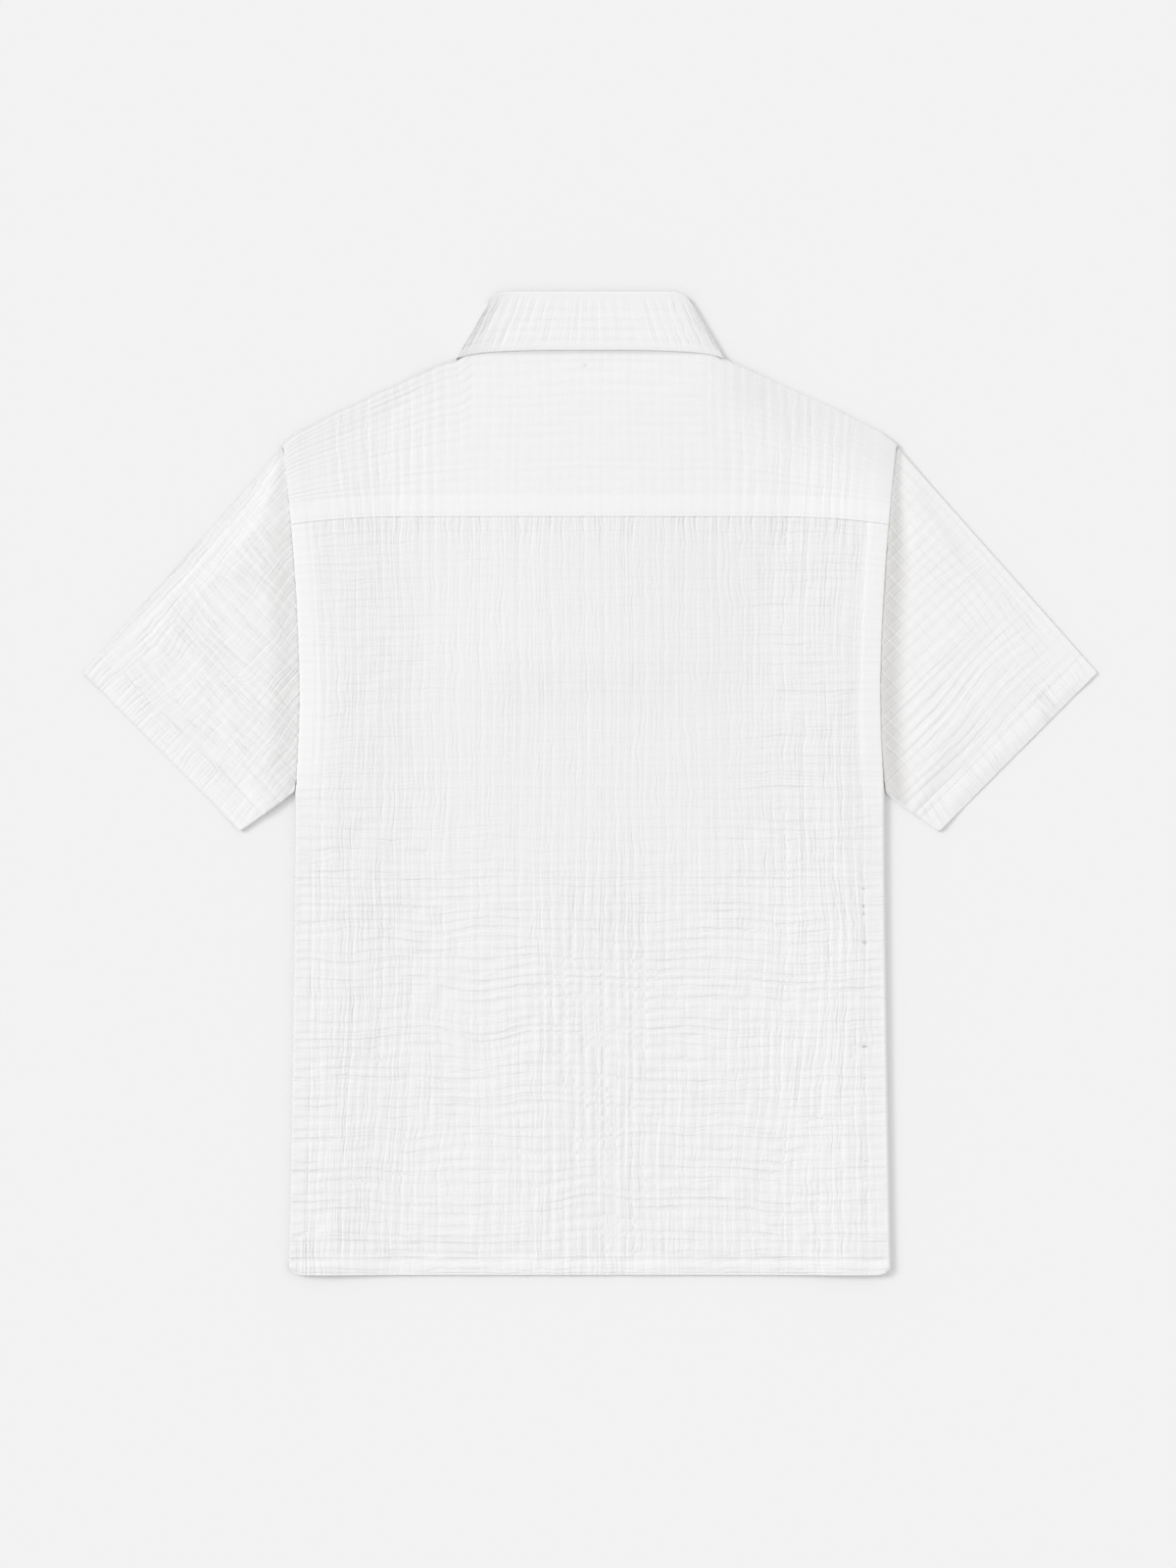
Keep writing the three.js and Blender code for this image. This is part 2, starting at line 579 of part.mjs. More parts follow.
/** A row of the collar table, or a mix of two neighbours, on the side given by the sign of place. */
function collarStation(stations, place) {
  const at = Math.abs(place);
  const [a, b] = [stations[Math.floor(at)], stations[Math.ceil(at)]];
  const share = at - Math.floor(at);
  const side = place < 0 ? -1 : 1;
  const plan = (name) => new THREE.Vector2(
    side * lerp(a[`${name}X`], b[`${name}X`], share),
    lerp(a[`${name}Y`], b[`${name}Y`], share),
  );
  const crossing = side * lerp(a.crossing ?? 0, b.crossing ?? 0, share);
  return { side, turn: degToRad(lerp(a.turn, b.turn, share)), plan, crossing: Math.max(crossing, 0) };
}

/** A point of the fall's middle surface moved out of the loop by offset. */
function fallPoint(station, plan, offset) {
  const middle = (FALL_LEVEL.back + FALL_LEVEL.front) / 2;
  const radius = (FALL_LEVEL.back - FALL_LEVEL.front) / 2 + offset;
  const outward = CREASE_NORMAL.clone().multiplyScalar(radius * Math.sin(station.turn));
  return new THREE.Vector3(
    plan.x + station.side * outward.x,
    plan.y + outward.y,
    middle + radius * Math.cos(station.turn),
  );
}

/** A point of the stand, which lies level with the yoke at the back and with the front before it. */
function standPoint(station, plan, offset, towardsNeck) {
  const back = backLow(plan.x, plan.y, CHEST_X) + CLOTH / 2;
  const under = frontLow(plan.x, plan.y) + CLOTH / 2 + LAYER * station.crossing;
  const radius = (back - under) / 2 + offset;
  const normal = CREASE_NORMAL.clone().lerp(shoulderNormal(NECK_SIDE.x), towardsNeck).normalize();
  normal.multiplyScalar(radius * Math.sin(station.turn));
  const isFlat = Math.sin(station.turn) < FLAT_TURN;
  const flatHeight = station.turn < Math.PI / 2 ? back + offset : under - offset;
  return new THREE.Vector3(
    plan.x + station.side * normal.x,
    plan.y + normal.y,
    isFlat ? flatHeight : (back + under) / 2 + radius * Math.cos(station.turn),
  );
}

/** The place where fall and stand turn into each other, for one station. */
function collarFold(station) {
  const up = station.plan('fold').sub(station.plan('edge')).normalize();
  const plan = station.plan('fold').addScaledVector(up, -LAYER / 2 - CLOTH / 2);
  const onFall = fallPoint(station, plan, 0);
  const onStand = standPoint(station, plan, 0, 0);
  const middle = onFall.clone().lerp(onStand, 0.5);
  const across = onFall.clone().sub(middle);
  const radius = across.length();
  return { plan, up: new THREE.Vector3(up.x, up.y, 0), middle, radius, across: across.normalize() };
}

const FALL_ROWS = [
  { up: 0 },
  { up: 0.14, ribbed: true },
  { up: 0.55, ribbed: true },
  { turn: 0, ribbed: true },
  { turn: 60 },
  { turn: 120 },
  { turn: 180 },
  { lip: LIP },
];

function collarFall() {
  const stations = COLLAR;
  const backCells = RIB_STATIONS * CELLS_A_STATION;
  const half = [
    ...Array.from({ length: backCells }, (_, k) => k / CELLS_A_STATION),
    ...Array.from({ length: stations.length - RIB_STATIONS }, (_, k) => k + RIB_STATIONS),
  ];
  const places = [...half.slice(1).map((place) => -place).reverse(), ...half];
  const isCrest = (place) => {
    const cell = Math.round(Math.abs(place) * CELLS_A_STATION);
    return cell % 2 === 1 && cell < backCells;
  };
  const point = (i, j, offset) => {
    const station = collarStation(stations, places[j]);
    const row = FALL_ROWS[i];
    const fold = collarFold(station);
    if (row.up !== undefined) {
      return fallPoint(station, station.plan('edge').lerp(fold.plan, row.up), offset);
    }
    if (row.lip !== undefined) {
      const down = station.plan('neck').sub(fold.plan).normalize();
      return standPoint(station, fold.plan.clone().addScaledVector(down, row.lip), -offset, 0);
    }
    const reach = fold.radius + offset;
    return fold.middle.clone()
      .addScaledVector(fold.across, reach * Math.cos(degToRad(row.turn)))
      .addScaledVector(fold.up, reach * Math.sin(degToRad(row.turn)));
  };
  return clothWall({
    rows: FALL_ROWS.length,
    columns: places.length,
    plain: places.flatMap((place, j) => (Number.isInteger(place) ? [j] : [])),
    outer: (i, j) => {
      const rib = FALL_ROWS[i].ribbed && isCrest(places[j]) ? COLLAR_RIB : 0;
      return point(i, j, CLOTH / 2 + rib);
    },
    inner: (i, j) => point(i, j, -CLOTH / 2),
  });
}

function collarStand() {
  const stations = [...COLLAR, ...STAND_TAB];
  const rows = [0, 0.5, 1];                        // from the fold to the neckline
  const places = Array.from({ length: 2 * stations.length - 1 }, (_, k) => k - stations.length + 1);
  const point = (i, j, offset) => {
    const station = collarStation(stations, places[j]);
    const isTab = Math.abs(places[j]) >= COLLAR.length;
    const top = isTab ? station.plan('fold') : collarFold(station).plan;
    const neck = station.plan('neck');
    const down = neck.clone().sub(top).normalize();
    top.addScaledVector(down, isTab ? 0 : LIP + SEAM_GAP);
    return standPoint(station, top.lerp(neck, rows[i]), offset, rows[i]);
  };
  return clothWall({
    rows: rows.length,
    columns: places.length,
    plain: places.map((_, j) => j),
    outer: (i, j) => point(i, j, CLOTH / 2),
    inner: (i, j) => point(i, j, -CLOTH / 2),
  });
}

// Placket and buttons, on the front and so next to the table

/** A flat strip of the placket between two x, at a height above the table. */
function placketStrip(fromX, toX, low) {
  const ys = [0, 0.5, 1].map((up) => lerp(PLACKET.bottomY, PLACKET.topY, up));
  const xs = [fromX, toX];
  const point = (i, j, z) => new THREE.Vector3(xs[j], ys[i], z);
  return clothWall({
    rows: ys.length,
    columns: xs.length,
    plain: [0, 1],
    outer: (i, j) => point(i, j, low + CLOTH),
    inner: (i, j) => point(i, j, low),
  });
}

/** Corners of a round outline with the given number of sides. */
function roundOutline(centreX, centreY, radius, sides) {
  return Array.from({ length: sides }, (_, k) => {
    const angle = (2 * Math.PI * k) / sides;
    return new THREE.Vector2(centreX + radius * Math.cos(angle), centreY + radius * Math.sin(angle));
  });
}

function button() {
  const { radius, thickness, holeRadius, holeSpread, sides, holeSides } = BUTTON;
  const outline = new THREE.Shape(roundOutline(0, 0, radius, sides));
  for (const [x, y] of [[1, 1], [-1, 1], [-1, -1], [1, -1]]) {
    outline.holes.push(new THREE.Path(roundOutline(x * holeSpread, y * holeSpread, holeRadius, holeSides)));
  }
  return new THREE.ExtrudeGeometry(outline, { depth: thickness, bevelEnabled: false });
}

function piece(name, geometry, material) {
  const mesh = new THREE.Mesh(geometry, material);
  mesh.name = name;
  return mesh;
}

const shirt = new THREE.Group();
shirt.name = 'polo_shirt';
shirt.add(
  piece('front', front(), COTTON),
  piece('back_panel', backPanel(), COTTON),
  piece('yoke', yoke(), COTTON),
  piece('sleeve_left', sleeve(-1), COTTON),
  piece('sleeve_right', sleeve(1), COTTON),
  piece('collar_stand', collarStand(), COTTON),
  piece('collar_fall', collarFall(), COTTON),
);

const { halfWidth, inset: placketInset, tuck } = PLACKET;
const innerStrip = placketStrip(placketInset - halfWidth, halfWidth + tuck, BUTTON_LIFT + LAYER);
shirt.add(
  piece('placket_outer', placketStrip(-halfWidth, halfWidth, BUTTON_LIFT), COTTON),
  piece('placket_inner', innerStrip, COTTON),
);
BUTTON_Y.forEach((y, k) => {
  const mesh = piece(`button_${k + 1}`, button(), BUTTON_RESIN);
  mesh.position.set(0, y, 0);
  shirt.add(mesh);
});

export default shirt;
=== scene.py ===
# %% [markdown]
# A polo shirt in crinkled double gauze, laid flat and face down
#
# The shirt lies on its front, so the camera looks down on the back, the yoke and the collar. Two layers of
# thin cotton are woven together at small points and shrink unevenly, which covers the cloth with short
# creases and soft pillows. Everything here is about showing that relief on white cloth in soft light.
#
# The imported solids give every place. Each sewn piece is then made again as a fine shell on the form of
# its solid, in millimetres, and turned into metres when its mesh is made.

# %% Load the frame
import math

import bpy
import numpy as np
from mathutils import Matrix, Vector


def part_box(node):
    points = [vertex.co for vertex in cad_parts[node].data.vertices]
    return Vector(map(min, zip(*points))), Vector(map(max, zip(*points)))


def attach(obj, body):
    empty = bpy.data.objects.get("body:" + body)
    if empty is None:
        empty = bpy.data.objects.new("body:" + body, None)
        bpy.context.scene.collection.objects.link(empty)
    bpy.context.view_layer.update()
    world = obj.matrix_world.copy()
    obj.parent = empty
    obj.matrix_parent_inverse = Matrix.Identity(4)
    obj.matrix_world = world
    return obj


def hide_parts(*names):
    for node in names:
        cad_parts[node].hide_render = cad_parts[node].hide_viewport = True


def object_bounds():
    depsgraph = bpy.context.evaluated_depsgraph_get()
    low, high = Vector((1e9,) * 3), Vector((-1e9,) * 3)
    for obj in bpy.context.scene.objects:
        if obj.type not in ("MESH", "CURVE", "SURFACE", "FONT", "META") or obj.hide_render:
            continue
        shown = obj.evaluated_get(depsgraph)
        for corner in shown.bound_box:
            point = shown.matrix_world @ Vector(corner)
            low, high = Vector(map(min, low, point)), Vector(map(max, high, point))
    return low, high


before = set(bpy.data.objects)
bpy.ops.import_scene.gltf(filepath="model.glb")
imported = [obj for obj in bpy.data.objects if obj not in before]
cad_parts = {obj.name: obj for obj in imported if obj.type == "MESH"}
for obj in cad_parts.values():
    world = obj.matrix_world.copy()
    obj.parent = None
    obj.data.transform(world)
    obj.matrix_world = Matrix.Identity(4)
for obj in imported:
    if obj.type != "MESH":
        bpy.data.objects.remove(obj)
cad_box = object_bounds()
MM = 0.001                                    # metres in a millimetre
cad_size = (cad_box[1] - cad_box[0]) / MM
print("Solids measure", [round(side, 1) for side in cad_size], "mm")

# %% [markdown]
# The camera
#
# The photograph looks straight down on the shirt, from far enough away that nothing leans. A camera three
# metres up with a long lens does the same. Its lens follows from the height and the stretch of floor that
# the frame takes in.

# %% Camera
FRAME_PIXELS = (1200, 1600)                   # width and height
MM_A_PIXEL = 0.787
CAMERA_AIM = (-1.6, -0.4)                     # the middle of the frame on the floor
CAMERA_HEIGHT = 3000.0
SENSOR = 36.0                                 # along the long side of the frame

camera_data = bpy.data.cameras.new("camera")
camera_data.sensor_width = SENSOR
camera_data.lens = SENSOR * CAMERA_HEIGHT / (FRAME_PIXELS[1] * MM_A_PIXEL)
camera = bpy.data.objects.new("camera", camera_data)
camera.location = (CAMERA_AIM[0] * MM, CAMERA_AIM[1] * MM, CAMERA_HEIGHT * MM)
bpy.context.scene.collection.objects.link(camera)
bpy.context.scene.camera = camera
print("Lens", round(camera_data.lens, 1), "mm")

# %% [markdown]
# Floor and light
#
# The floor is one even pale grey from edge to edge, so it needs light that doesn't fall off: a sun and an
# even sky. The sun stands low towards the upper left and is very wide, so a crease is lit on one side and
# the shirt's right and lower edges drop a short soft shadow. The sky fills the rest.

# %% Floor and light
FLOOR_TONE = 0.865
FLOOR_HALF = 30.0                             # metres
FLOOR_GAP = 0.0002                            # just under the cloth, so the two faces don't flicker
SKY_STRENGTH = 0.802
SUN_ENERGY = 1.24
SUN_WIDTH = math.radians(22)
SUN_FROM = Vector((-0.72, 0.38, 0.57))        # the way from the shirt to the light


def make_floor():
    mesh = bpy.data.meshes.new("floor")
    signs = [(-1, -1), (1, -1), (1, 1), (-1, 1)]
    corners = [(x * FLOOR_HALF, y * FLOOR_HALF, -FLOOR_GAP) for x, y in signs]
    mesh.from_pydata(corners, [], [(0, 1, 2, 3)])
    material = bpy.data.materials.new("floor")
    material.use_nodes = True
    shader = material.node_tree.nodes["Principled BSDF"]
    shader.inputs["Base Color"].default_value = (FLOOR_TONE, FLOOR_TONE, FLOOR_TONE, 1)
    shader.inputs["Roughness"].default_value = 1.0
    shader.inputs["Specular IOR Level"].default_value = 0.0
    mesh.materials.append(material)
    floor = bpy.data.objects.new("floor", mesh)
    bpy.context.scene.collection.objects.link(floor)


def make_light():
    world = bpy.data.worlds.new("sky")
    world.use_nodes = True
    world.node_tree.nodes["Background"].inputs["Color"].default_value = (1, 1, 1, 1)
    world.node_tree.nodes["Background"].inputs["Strength"].default_value = SKY_STRENGTH
    bpy.context.scene.world = world
    sun = bpy.data.lights.new("sun", "SUN")
    sun.energy = SUN_ENERGY
    sun.angle = SUN_WIDTH
    lamp = bpy.data.objects.new("sun", sun)
    lamp.rotation_mode = "QUATERNION"
    lamp.rotation_quaternion = SUN_FROM.to_track_quat("Z", "Y")
    bpy.context.scene.collection.objects.link(lamp)


make_floor()
make_light()
bpy.context.scene.view_settings.view_transform = "Standard"
print("The sun stands", round(math.degrees(math.asin(SUN_FROM.normalized().z))), "degrees up")

# %% [markdown]
# Smooth steps and unevenness
#
# Cloth changes softly from one place to the next. One curve that climbs smoothly from 0 to 1 blends all
# heights, and one field of smooth uneven values makes every crease a little different. The field has a
# fixed seed, so it is the same each time.

# %% Smooth steps and unevenness
def rise(value, start, end):
    """0 before start, 1 after end and a smooth climb between them."""
    share = np.clip((value - start) / (end - start), 0.0, 1.0)
    return share * share * (3.0 - 2.0 * share)


def fall(value, start, end):
    return 1.0 - rise(value, start, end)


def mix(a, b, share):
    return a + (b - a) * share


def by_side(x, values):
    """The value for the left where x is negative, and else the one for the right."""
    return np.where(x < 0, values[-1], values[1])


def uneven(u, v, seed):
    """Smooth values from -1 to 1 that change over one step of u or of v."""
    size = 64
    table = np.random.default_rng(seed).uniform(-1.0, 1.0, (size, size))
    i, j = np.floor(u).astype(int), np.floor(v).astype(int)
    s, t = rise(u - i, 0.0, 1.0), rise(v - j, 0.0, 1.0)
    low = mix(table[i % size, j % size], table[(i + 1) % size, j % size], s)
    high = mix(table[i % size, (j + 1) % size], table[(i + 1) % size, (j + 1) % size], s)
    return mix(low, high, t)


print("A quarter of the way a step has climbed", float(rise(0.25, 0.0, 1.0)))

# %% [markdown]
# Outline of the body
#
# A maker would draft half a shirt and mirror it, and so does this cell: every edge is given for the right
# side by the distance from the centre back line. The side seams are nearly straight, the armholes cut in a
# little above the underarm, and the shoulders slope from the neck to the sleeve.

# %% Outline of the body
HEM_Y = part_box("back_panel")[0].y / MM
HEM_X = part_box("back_panel")[1].x / MM
CHEST_X = 240.0                               # half the width by which columns of points are named
UNDERARM = (236.5, -8.0)
ARMHOLE_WAIST = (233.0, 75.0)                 # where the armholes come closest
ARMHOLE_TOP = (246.0, 270.4)
SIDE_BEND = {"seam": 1.5, "below_waist": 2, "above_waist": 1.7}
YOKE_SEAM_Y = 214.0
YOKE_SEAM_STRAIGHT = 150.0                    # half the straight stretch of the yoke seam
YOKE_SEAM_DIP = 6.5                           # at the armholes
SHOULDER_X = (95.5, 101.0, 107.2, 118.4, 134.2, 201.9, 232.9, ARMHOLE_TOP[0])
SHOULDER_Y = (349.5, 343.5, 338.5, 335.6, 328.5, 296.4, 280.2, ARMHOLE_TOP[1])
NECK_SIDE_X = SHOULDER_X[0]
BACK_NECK = {"middle": 352.0, "drop": 2.5}
FRONT_SEAM = {"neck": 321.5, "armhole": 241.0}
FRONT_NECK_X = (15.3, 46.0, 70.0, 86.0, 93.0, NECK_SIDE_X)
FRONT_NECK_Y = (278.5, 280.5, 287.5, 299.5, 311.0, 321.2)


def side_at(y):
    """Half the width of the body: the side seam below the underarm, the armhole above it."""
    down = np.clip((UNDERARM[1] - y) / (UNDERARM[1] - HEM_Y), 0.0, None)
    below = mix(UNDERARM[0], HEM_X, down ** SIDE_BEND["seam"])
    low = np.clip((ARMHOLE_WAIST[1] - y) / (ARMHOLE_WAIST[1] - UNDERARM[1]), 0.0, 1.0)
    up = np.clip((y - ARMHOLE_WAIST[1]) / (ARMHOLE_TOP[1] - ARMHOLE_WAIST[1]), 0.0, 1.0)
    armhole = mix(ARMHOLE_WAIST[0], UNDERARM[0], low ** SIDE_BEND["below_waist"])
    armhole = armhole + (ARMHOLE_TOP[0] - ARMHOLE_WAIST[0]) * up ** SIDE_BEND["above_waist"]
    return np.where(y < UNDERARM[1], below, armhole)


def column_x(x0, y):
    """Columns near the centre run straight up the body, those near the side follow its edge."""
    centre = 100.0
    return x0 + np.sign(x0) * (side_at(y) - CHEST_X) * rise(np.abs(x0), centre, CHEST_X)


def yoke_seam_y(x):
    """The yoke seam is straight across the back and dips towards the armholes."""
    past_straight = np.clip(np.abs(x) - YOKE_SEAM_STRAIGHT, 0.0, None)
    return YOKE_SEAM_Y - YOKE_SEAM_DIP * (past_straight / (CHEST_X - YOKE_SEAM_STRAIGHT)) ** 2


def shoulder_y(x):
    return np.interp(np.abs(x), SHOULDER_X, SHOULDER_Y)


def back_neck_y(x):
    return BACK_NECK["middle"] - BACK_NECK["drop"] * (x / NECK_SIDE_X) ** 2


def front_seam_y(x):
    share = (np.abs(x) - NECK_SIDE_X) / (CHEST_X - NECK_SIDE_X)
    return mix(FRONT_SEAM["neck"], FRONT_SEAM["armhole"], share)


def shoulder_normal(x):
    """Unit direction away from the body, square to the shoulder fold."""
    step = 6.0
    at = np.clip(np.abs(x), NECK_SIDE_X + step, ARMHOLE_TOP[0] - step)
    slope = (shoulder_y(at + step) - shoulder_y(at - step)) / (2 * step)
    length = np.hypot(slope, 1.0)
    return -slope * np.sign(x) / length, 1.0 / length


print("Half width at the hem", round(HEM_X, 1), "and at the waist of the armholes", ARMHOLE_WAIST[0], "mm")

# %% [markdown]
# How the layers lie
#
# A laid shirt is a stack: the front on the table, the placket with its buttons and the collar points under
# it, the back on top. The back is lifted where something lies below, and it stands fuller beside the side
# seams, where the cloth rolls over, and beside the armholes, where seam allowances are pressed under it.

# %% How the layers lie
CLOTH = 1.0                                   # two layers of gauze with their crinkle
SEAM_GAP = 0.3
LAYER = 1.3                                   # from one laid panel to the next
ROLL_RADIUS = 2.8                             # outside of the roll along a side seam
BUTTON_LIFT = 2.2                             # the placket lies on its buttons
HEM_EXTRA = 0.5                               # the turned cloth inside a hem
BODY_HEM = 15.0
HEM_STEP = 2.5                                # the hem thins out over this length
LOFT = 1.1                                    # the back stands on the crinkle below, clear of the front
BAND = {"width": 16.0, "height": 0.4}         # allowance pressed under a top-stitched edge
UNDERARM_TURN = 12.0                          # the seam's roll ends this far above the underarm
MOUNDS = {                                    # raised from y to full_y, and from x = far in to near
    "front_over_collar": {"y": 190.0, "full_y": 226.0, "near": 124.0, "far": 165.0},
    "front_over_buttons": {"y": 96.0, "full_y": 122.0, "near": 20.0, "far": 46.0},
    "back_over_collar": {"y": 150.0, "full_y": 226.0, "near": 124.0, "far": 190.0},
    "back_over_placket": {"y": 50.0, "full_y": 105.0, "near": 24.0, "far": 150.0},
}
PLACKET_MOUND_END = (308.0, 350.0)            # above the placket the back comes down again
RIDGE = {"edge": 2.8, "height": 3.1, "from_side": 12.0, "reach": 105.0}   # along the armhole
RIDGE_END = {"share": 0.7, "from_y": 190.0, "to_y": 262.0}   # lower towards the shoulder
FULLER_BELOW = (-60.0, 20.0)                  # between seam and armhole, away from the edge
SHOULDER = {"height": 1.2, "reach": 50.0, "from_x": 112.0, "to_x": 175.0}


def mound(name, x, y):
    """How far up a mound is, from 0 beside it to 1 on top."""
    place = MOUNDS[name]
    return rise(y, place["y"], place["full_y"]) * fall(np.abs(x), place["near"], place["far"])


def front_low(x, y):
    """Underside of the front: on the table, and raised over the collar points and the buttons."""
    over_collar = LAYER * mound("front_over_collar", x, y)
    over_buttons = BUTTON_LIFT * mound("front_over_buttons", x, y)
    return np.maximum(over_collar, over_buttons)


def back_lift(x, y):
    """How far the back is held up by the collar points and the placket under it."""
    over_placket = mound("back_over_placket", x, y)
    cloth_below = LAYER * np.maximum(mound("back_over_collar", x, y), over_placket)
    return cloth_below + BUTTON_LIFT * over_placket * fall(y, *PLACKET_MOUND_END)


def side_lift(from_side, y):
    """Fullness beside the side seam and beside the armhole."""
    seam = (2 * ROLL_RADIUS - CLOTH - LAYER) * fall(from_side, ROLL_RADIUS, RIDGE["reach"])
    is_outside = from_side < RIDGE["from_side"]
    outside = mix(RIDGE["edge"], RIDGE["height"], rise(from_side, 0.0, RIDGE["from_side"]))
    inside = RIDGE["height"] * fall(from_side, RIDGE["from_side"], RIDGE["reach"])
    lower = mix(1.0, RIDGE_END["share"], rise(y, RIDGE_END["from_y"], RIDGE_END["to_y"]))
    armhole = np.where(is_outside, outside, inside) * lower
    above_underarm = rise(y, UNDERARM[1], UNDERARM[1] + UNDERARM_TURN)
    return mix(seam, armhole, np.where(is_outside, above_underarm, rise(y, *FULLER_BELOW)))


def shoulder_lift(x, y):
    """Fullness below the shoulder fold, which is flat at the neck and round at the shoulder."""
    below = shoulder_y(np.maximum(np.abs(x), NECK_SIDE_X)) - y
    towards_shoulder = rise(np.abs(x), SHOULDER["from_x"], SHOULDER["to_x"])
    return SHOULDER["height"] * fall(below, 0.0, SHOULDER["reach"]) * towards_shoulder


def back_low(x, y, from_side):
    """Underside of the back and the yoke."""
    lifts = [back_lift(x, y), side_lift(from_side, y), shoulder_lift(x, y)]
    loft = LOFT * rise(from_side, 5.0, 35.0) * fall(y, 90.0, 150.0)
    return LAYER + loft + np.maximum.reduce(lifts)


print("The back lies", round(float(back_low(np.float64(0), -200.0, CHEST_X)), 2), "mm up at the waist")

# %% [markdown]
# Mesh lines that follow the creases
#
# A crease is a sharp narrow valley, and an even grid would cut its corners off. So the mesh has a line of
# points on each crease, two close beside it and the rest spread over the pillow between. Round edges and
# plain stretches have lines of their own. Each line says where it is, how far the edge drops away there,
# and its crease number: whole on a crease, and a half where there is none.

# %% Mesh lines
class Lines:
    """Rows or columns of a mesh: place, drop at a rounded edge, and crease number."""

    def __init__(self, place, drop, number):
        self.place = np.asarray(place, float)
        self.drop = np.broadcast_to(np.asarray(drop, float), self.place.shape)
        self.number = np.broadcast_to(np.asarray(number, float), self.place.shape)

    def __add__(self, other):
        together = [
            np.concatenate([mine, theirs])
            for mine, theirs in zip(
                (self.place, self.drop, self.number),
                (other.place, other.drop, other.number),
            )
        ]
        return Lines(*together)

    def __len__(self):
        return len(self.place)

    def at(self, place):
        """The line nearest to a place."""
        return int(np.argmin(np.abs(self.place - place)))


NO_CREASE = 0.5
CREASE_CELL = (0.0, 0.16, 0.39, 0.61, 0.84)   # lines from one crease to the next, as shares
ROW_CELL = (0.0, 0.2, 0.5, 0.8)
UPPER_CELL = (0.0, 0.25, 0.5, 0.75)
FRONT_CELL = (0.0, 0.18, 0.5, 0.82)
SPACING = (0.62, 1.38)                        # narrowest and widest, as shares of the mean gap


def edge_lines(edge, inward, radius, number=NO_CREASE):
    """A rounded edge. inward is 1 where the cloth lies after the edge and -1 where it lies before."""
    turn = np.radians([150, 120, 90, 60, 30, 0])[::inward]
    return Lines(edge + inward * radius * (1 - np.sin(turn)), radius * (1 - np.cos(turn)), number)


def plain_lines(start, end, step, number=NO_CREASE):
    count = max(round(abs(end - start) / step), 1) + 1
    return Lines(np.linspace(start, end, count), 0.0, number)


def uneven_steps(start, end, gap, sizes):
    """Places from start to end, gap apart on average. sizes makes the random numbers."""
    count = max(round(abs(end - start) / gap), 1)
    shares = sizes.uniform(*SPACING, count)
    return start + (end - start) * np.concatenate([[0.0], np.cumsum(shares) / shares.sum()])


def crease_lines(stops, gap, seed, cell=CREASE_CELL):
    """Creases from the first stop to the last, gap apart on average, with one at every stop."""
    sizes = np.random.default_rng(seed)
    place, number = [], []
    for start, end in zip(stops, stops[1:]):
        ends = uneven_steps(start, end, gap, sizes)
        for low, high in zip(ends, ends[1:]):
            first = len(place) // len(cell) + 1
            place += [mix(low, high, part) for part in cell]
            number += [first + part for part in cell]
    return Lines([*place, stops[-1]], 0.0, [*number, len(place) // len(cell) + 1])


print("Ten creases need", len(crease_lines([0.0, 100.0], 10.0, 1)), "lines")

# %% [markdown]
# The crinkle
#
# The creases of double gauze come and go. Each one has its own depth, which changes along its length, and
# lies wholly apart from its neighbour's. The two families, along the cloth and across it, are added up,
# and their strength differs from place to place. A few soft folds lie under them.

# %% Crinkle
CRINKLE = 0.95                                # depth of a strong crease
TROUGH_SHAPE = 0.95                           # the lower, the narrower the bottom of a crease
SHALLOWEST = 0.36                             # the faintest stretch of a crease
CROSSING = 0.5                                # two that cross sink less, by this much of their product
DETAIL = {"amount": 0.6, "times": 3.0, "seed": 50}   # smaller changes of depth along a crease
PILLOW = {"size": 13.0, "height": 0.34}       # lumps between the creases
SWAY_SIZE = (38.0, 62.0)                      # creases wander together over this much cloth
STRAY = {"amount": 0.42, "apart": 3.0, "length": 13.0}   # and each strays a little by itself


def trough(number):
    """1 in a crease and 0 half-way to the next, with a narrow bottom and round shoulders."""
    return 1.0 - np.abs(np.sin(np.pi * number)) ** TROUGH_SHAPE


def crease_depth(number, along, reach, seed):
    """How deep each crease is, from 0 to 1. along is the distance along it."""
    own = uneven(np.rint(number), along / reach, seed)
    detail = uneven(np.rint(number), along * DETAIL["times"] / reach, seed + DETAIL["seed"])
    return mix(SHALLOWEST, 1.0, rise(own + DETAIL["amount"] * detail, -0.9, 1.0))


def soft_folds(x, y, table):
    """Wide soft troughs and ridges, each along a straight line from one end to the other."""
    total = np.zeros(np.broadcast(x, y).shape)
    for fold in table:
        start, end = np.array(fold["start"]), np.array(fold["end"])
        way = (end - start) / np.hypot(*(end - start))
        along = (x - start[0]) * way[0] + (y - start[1]) * way[1]
        beside = (y - start[1]) * way[0] - (x - start[0]) * way[1]
        length = np.hypot(*(end - start))
        ends = rise(along, 0.0, 0.3 * length) * fall(along, 0.7 * length, length)
        total += fold["height"] * ends * np.exp(-((beside / fold["width"]) ** 2))
    return total


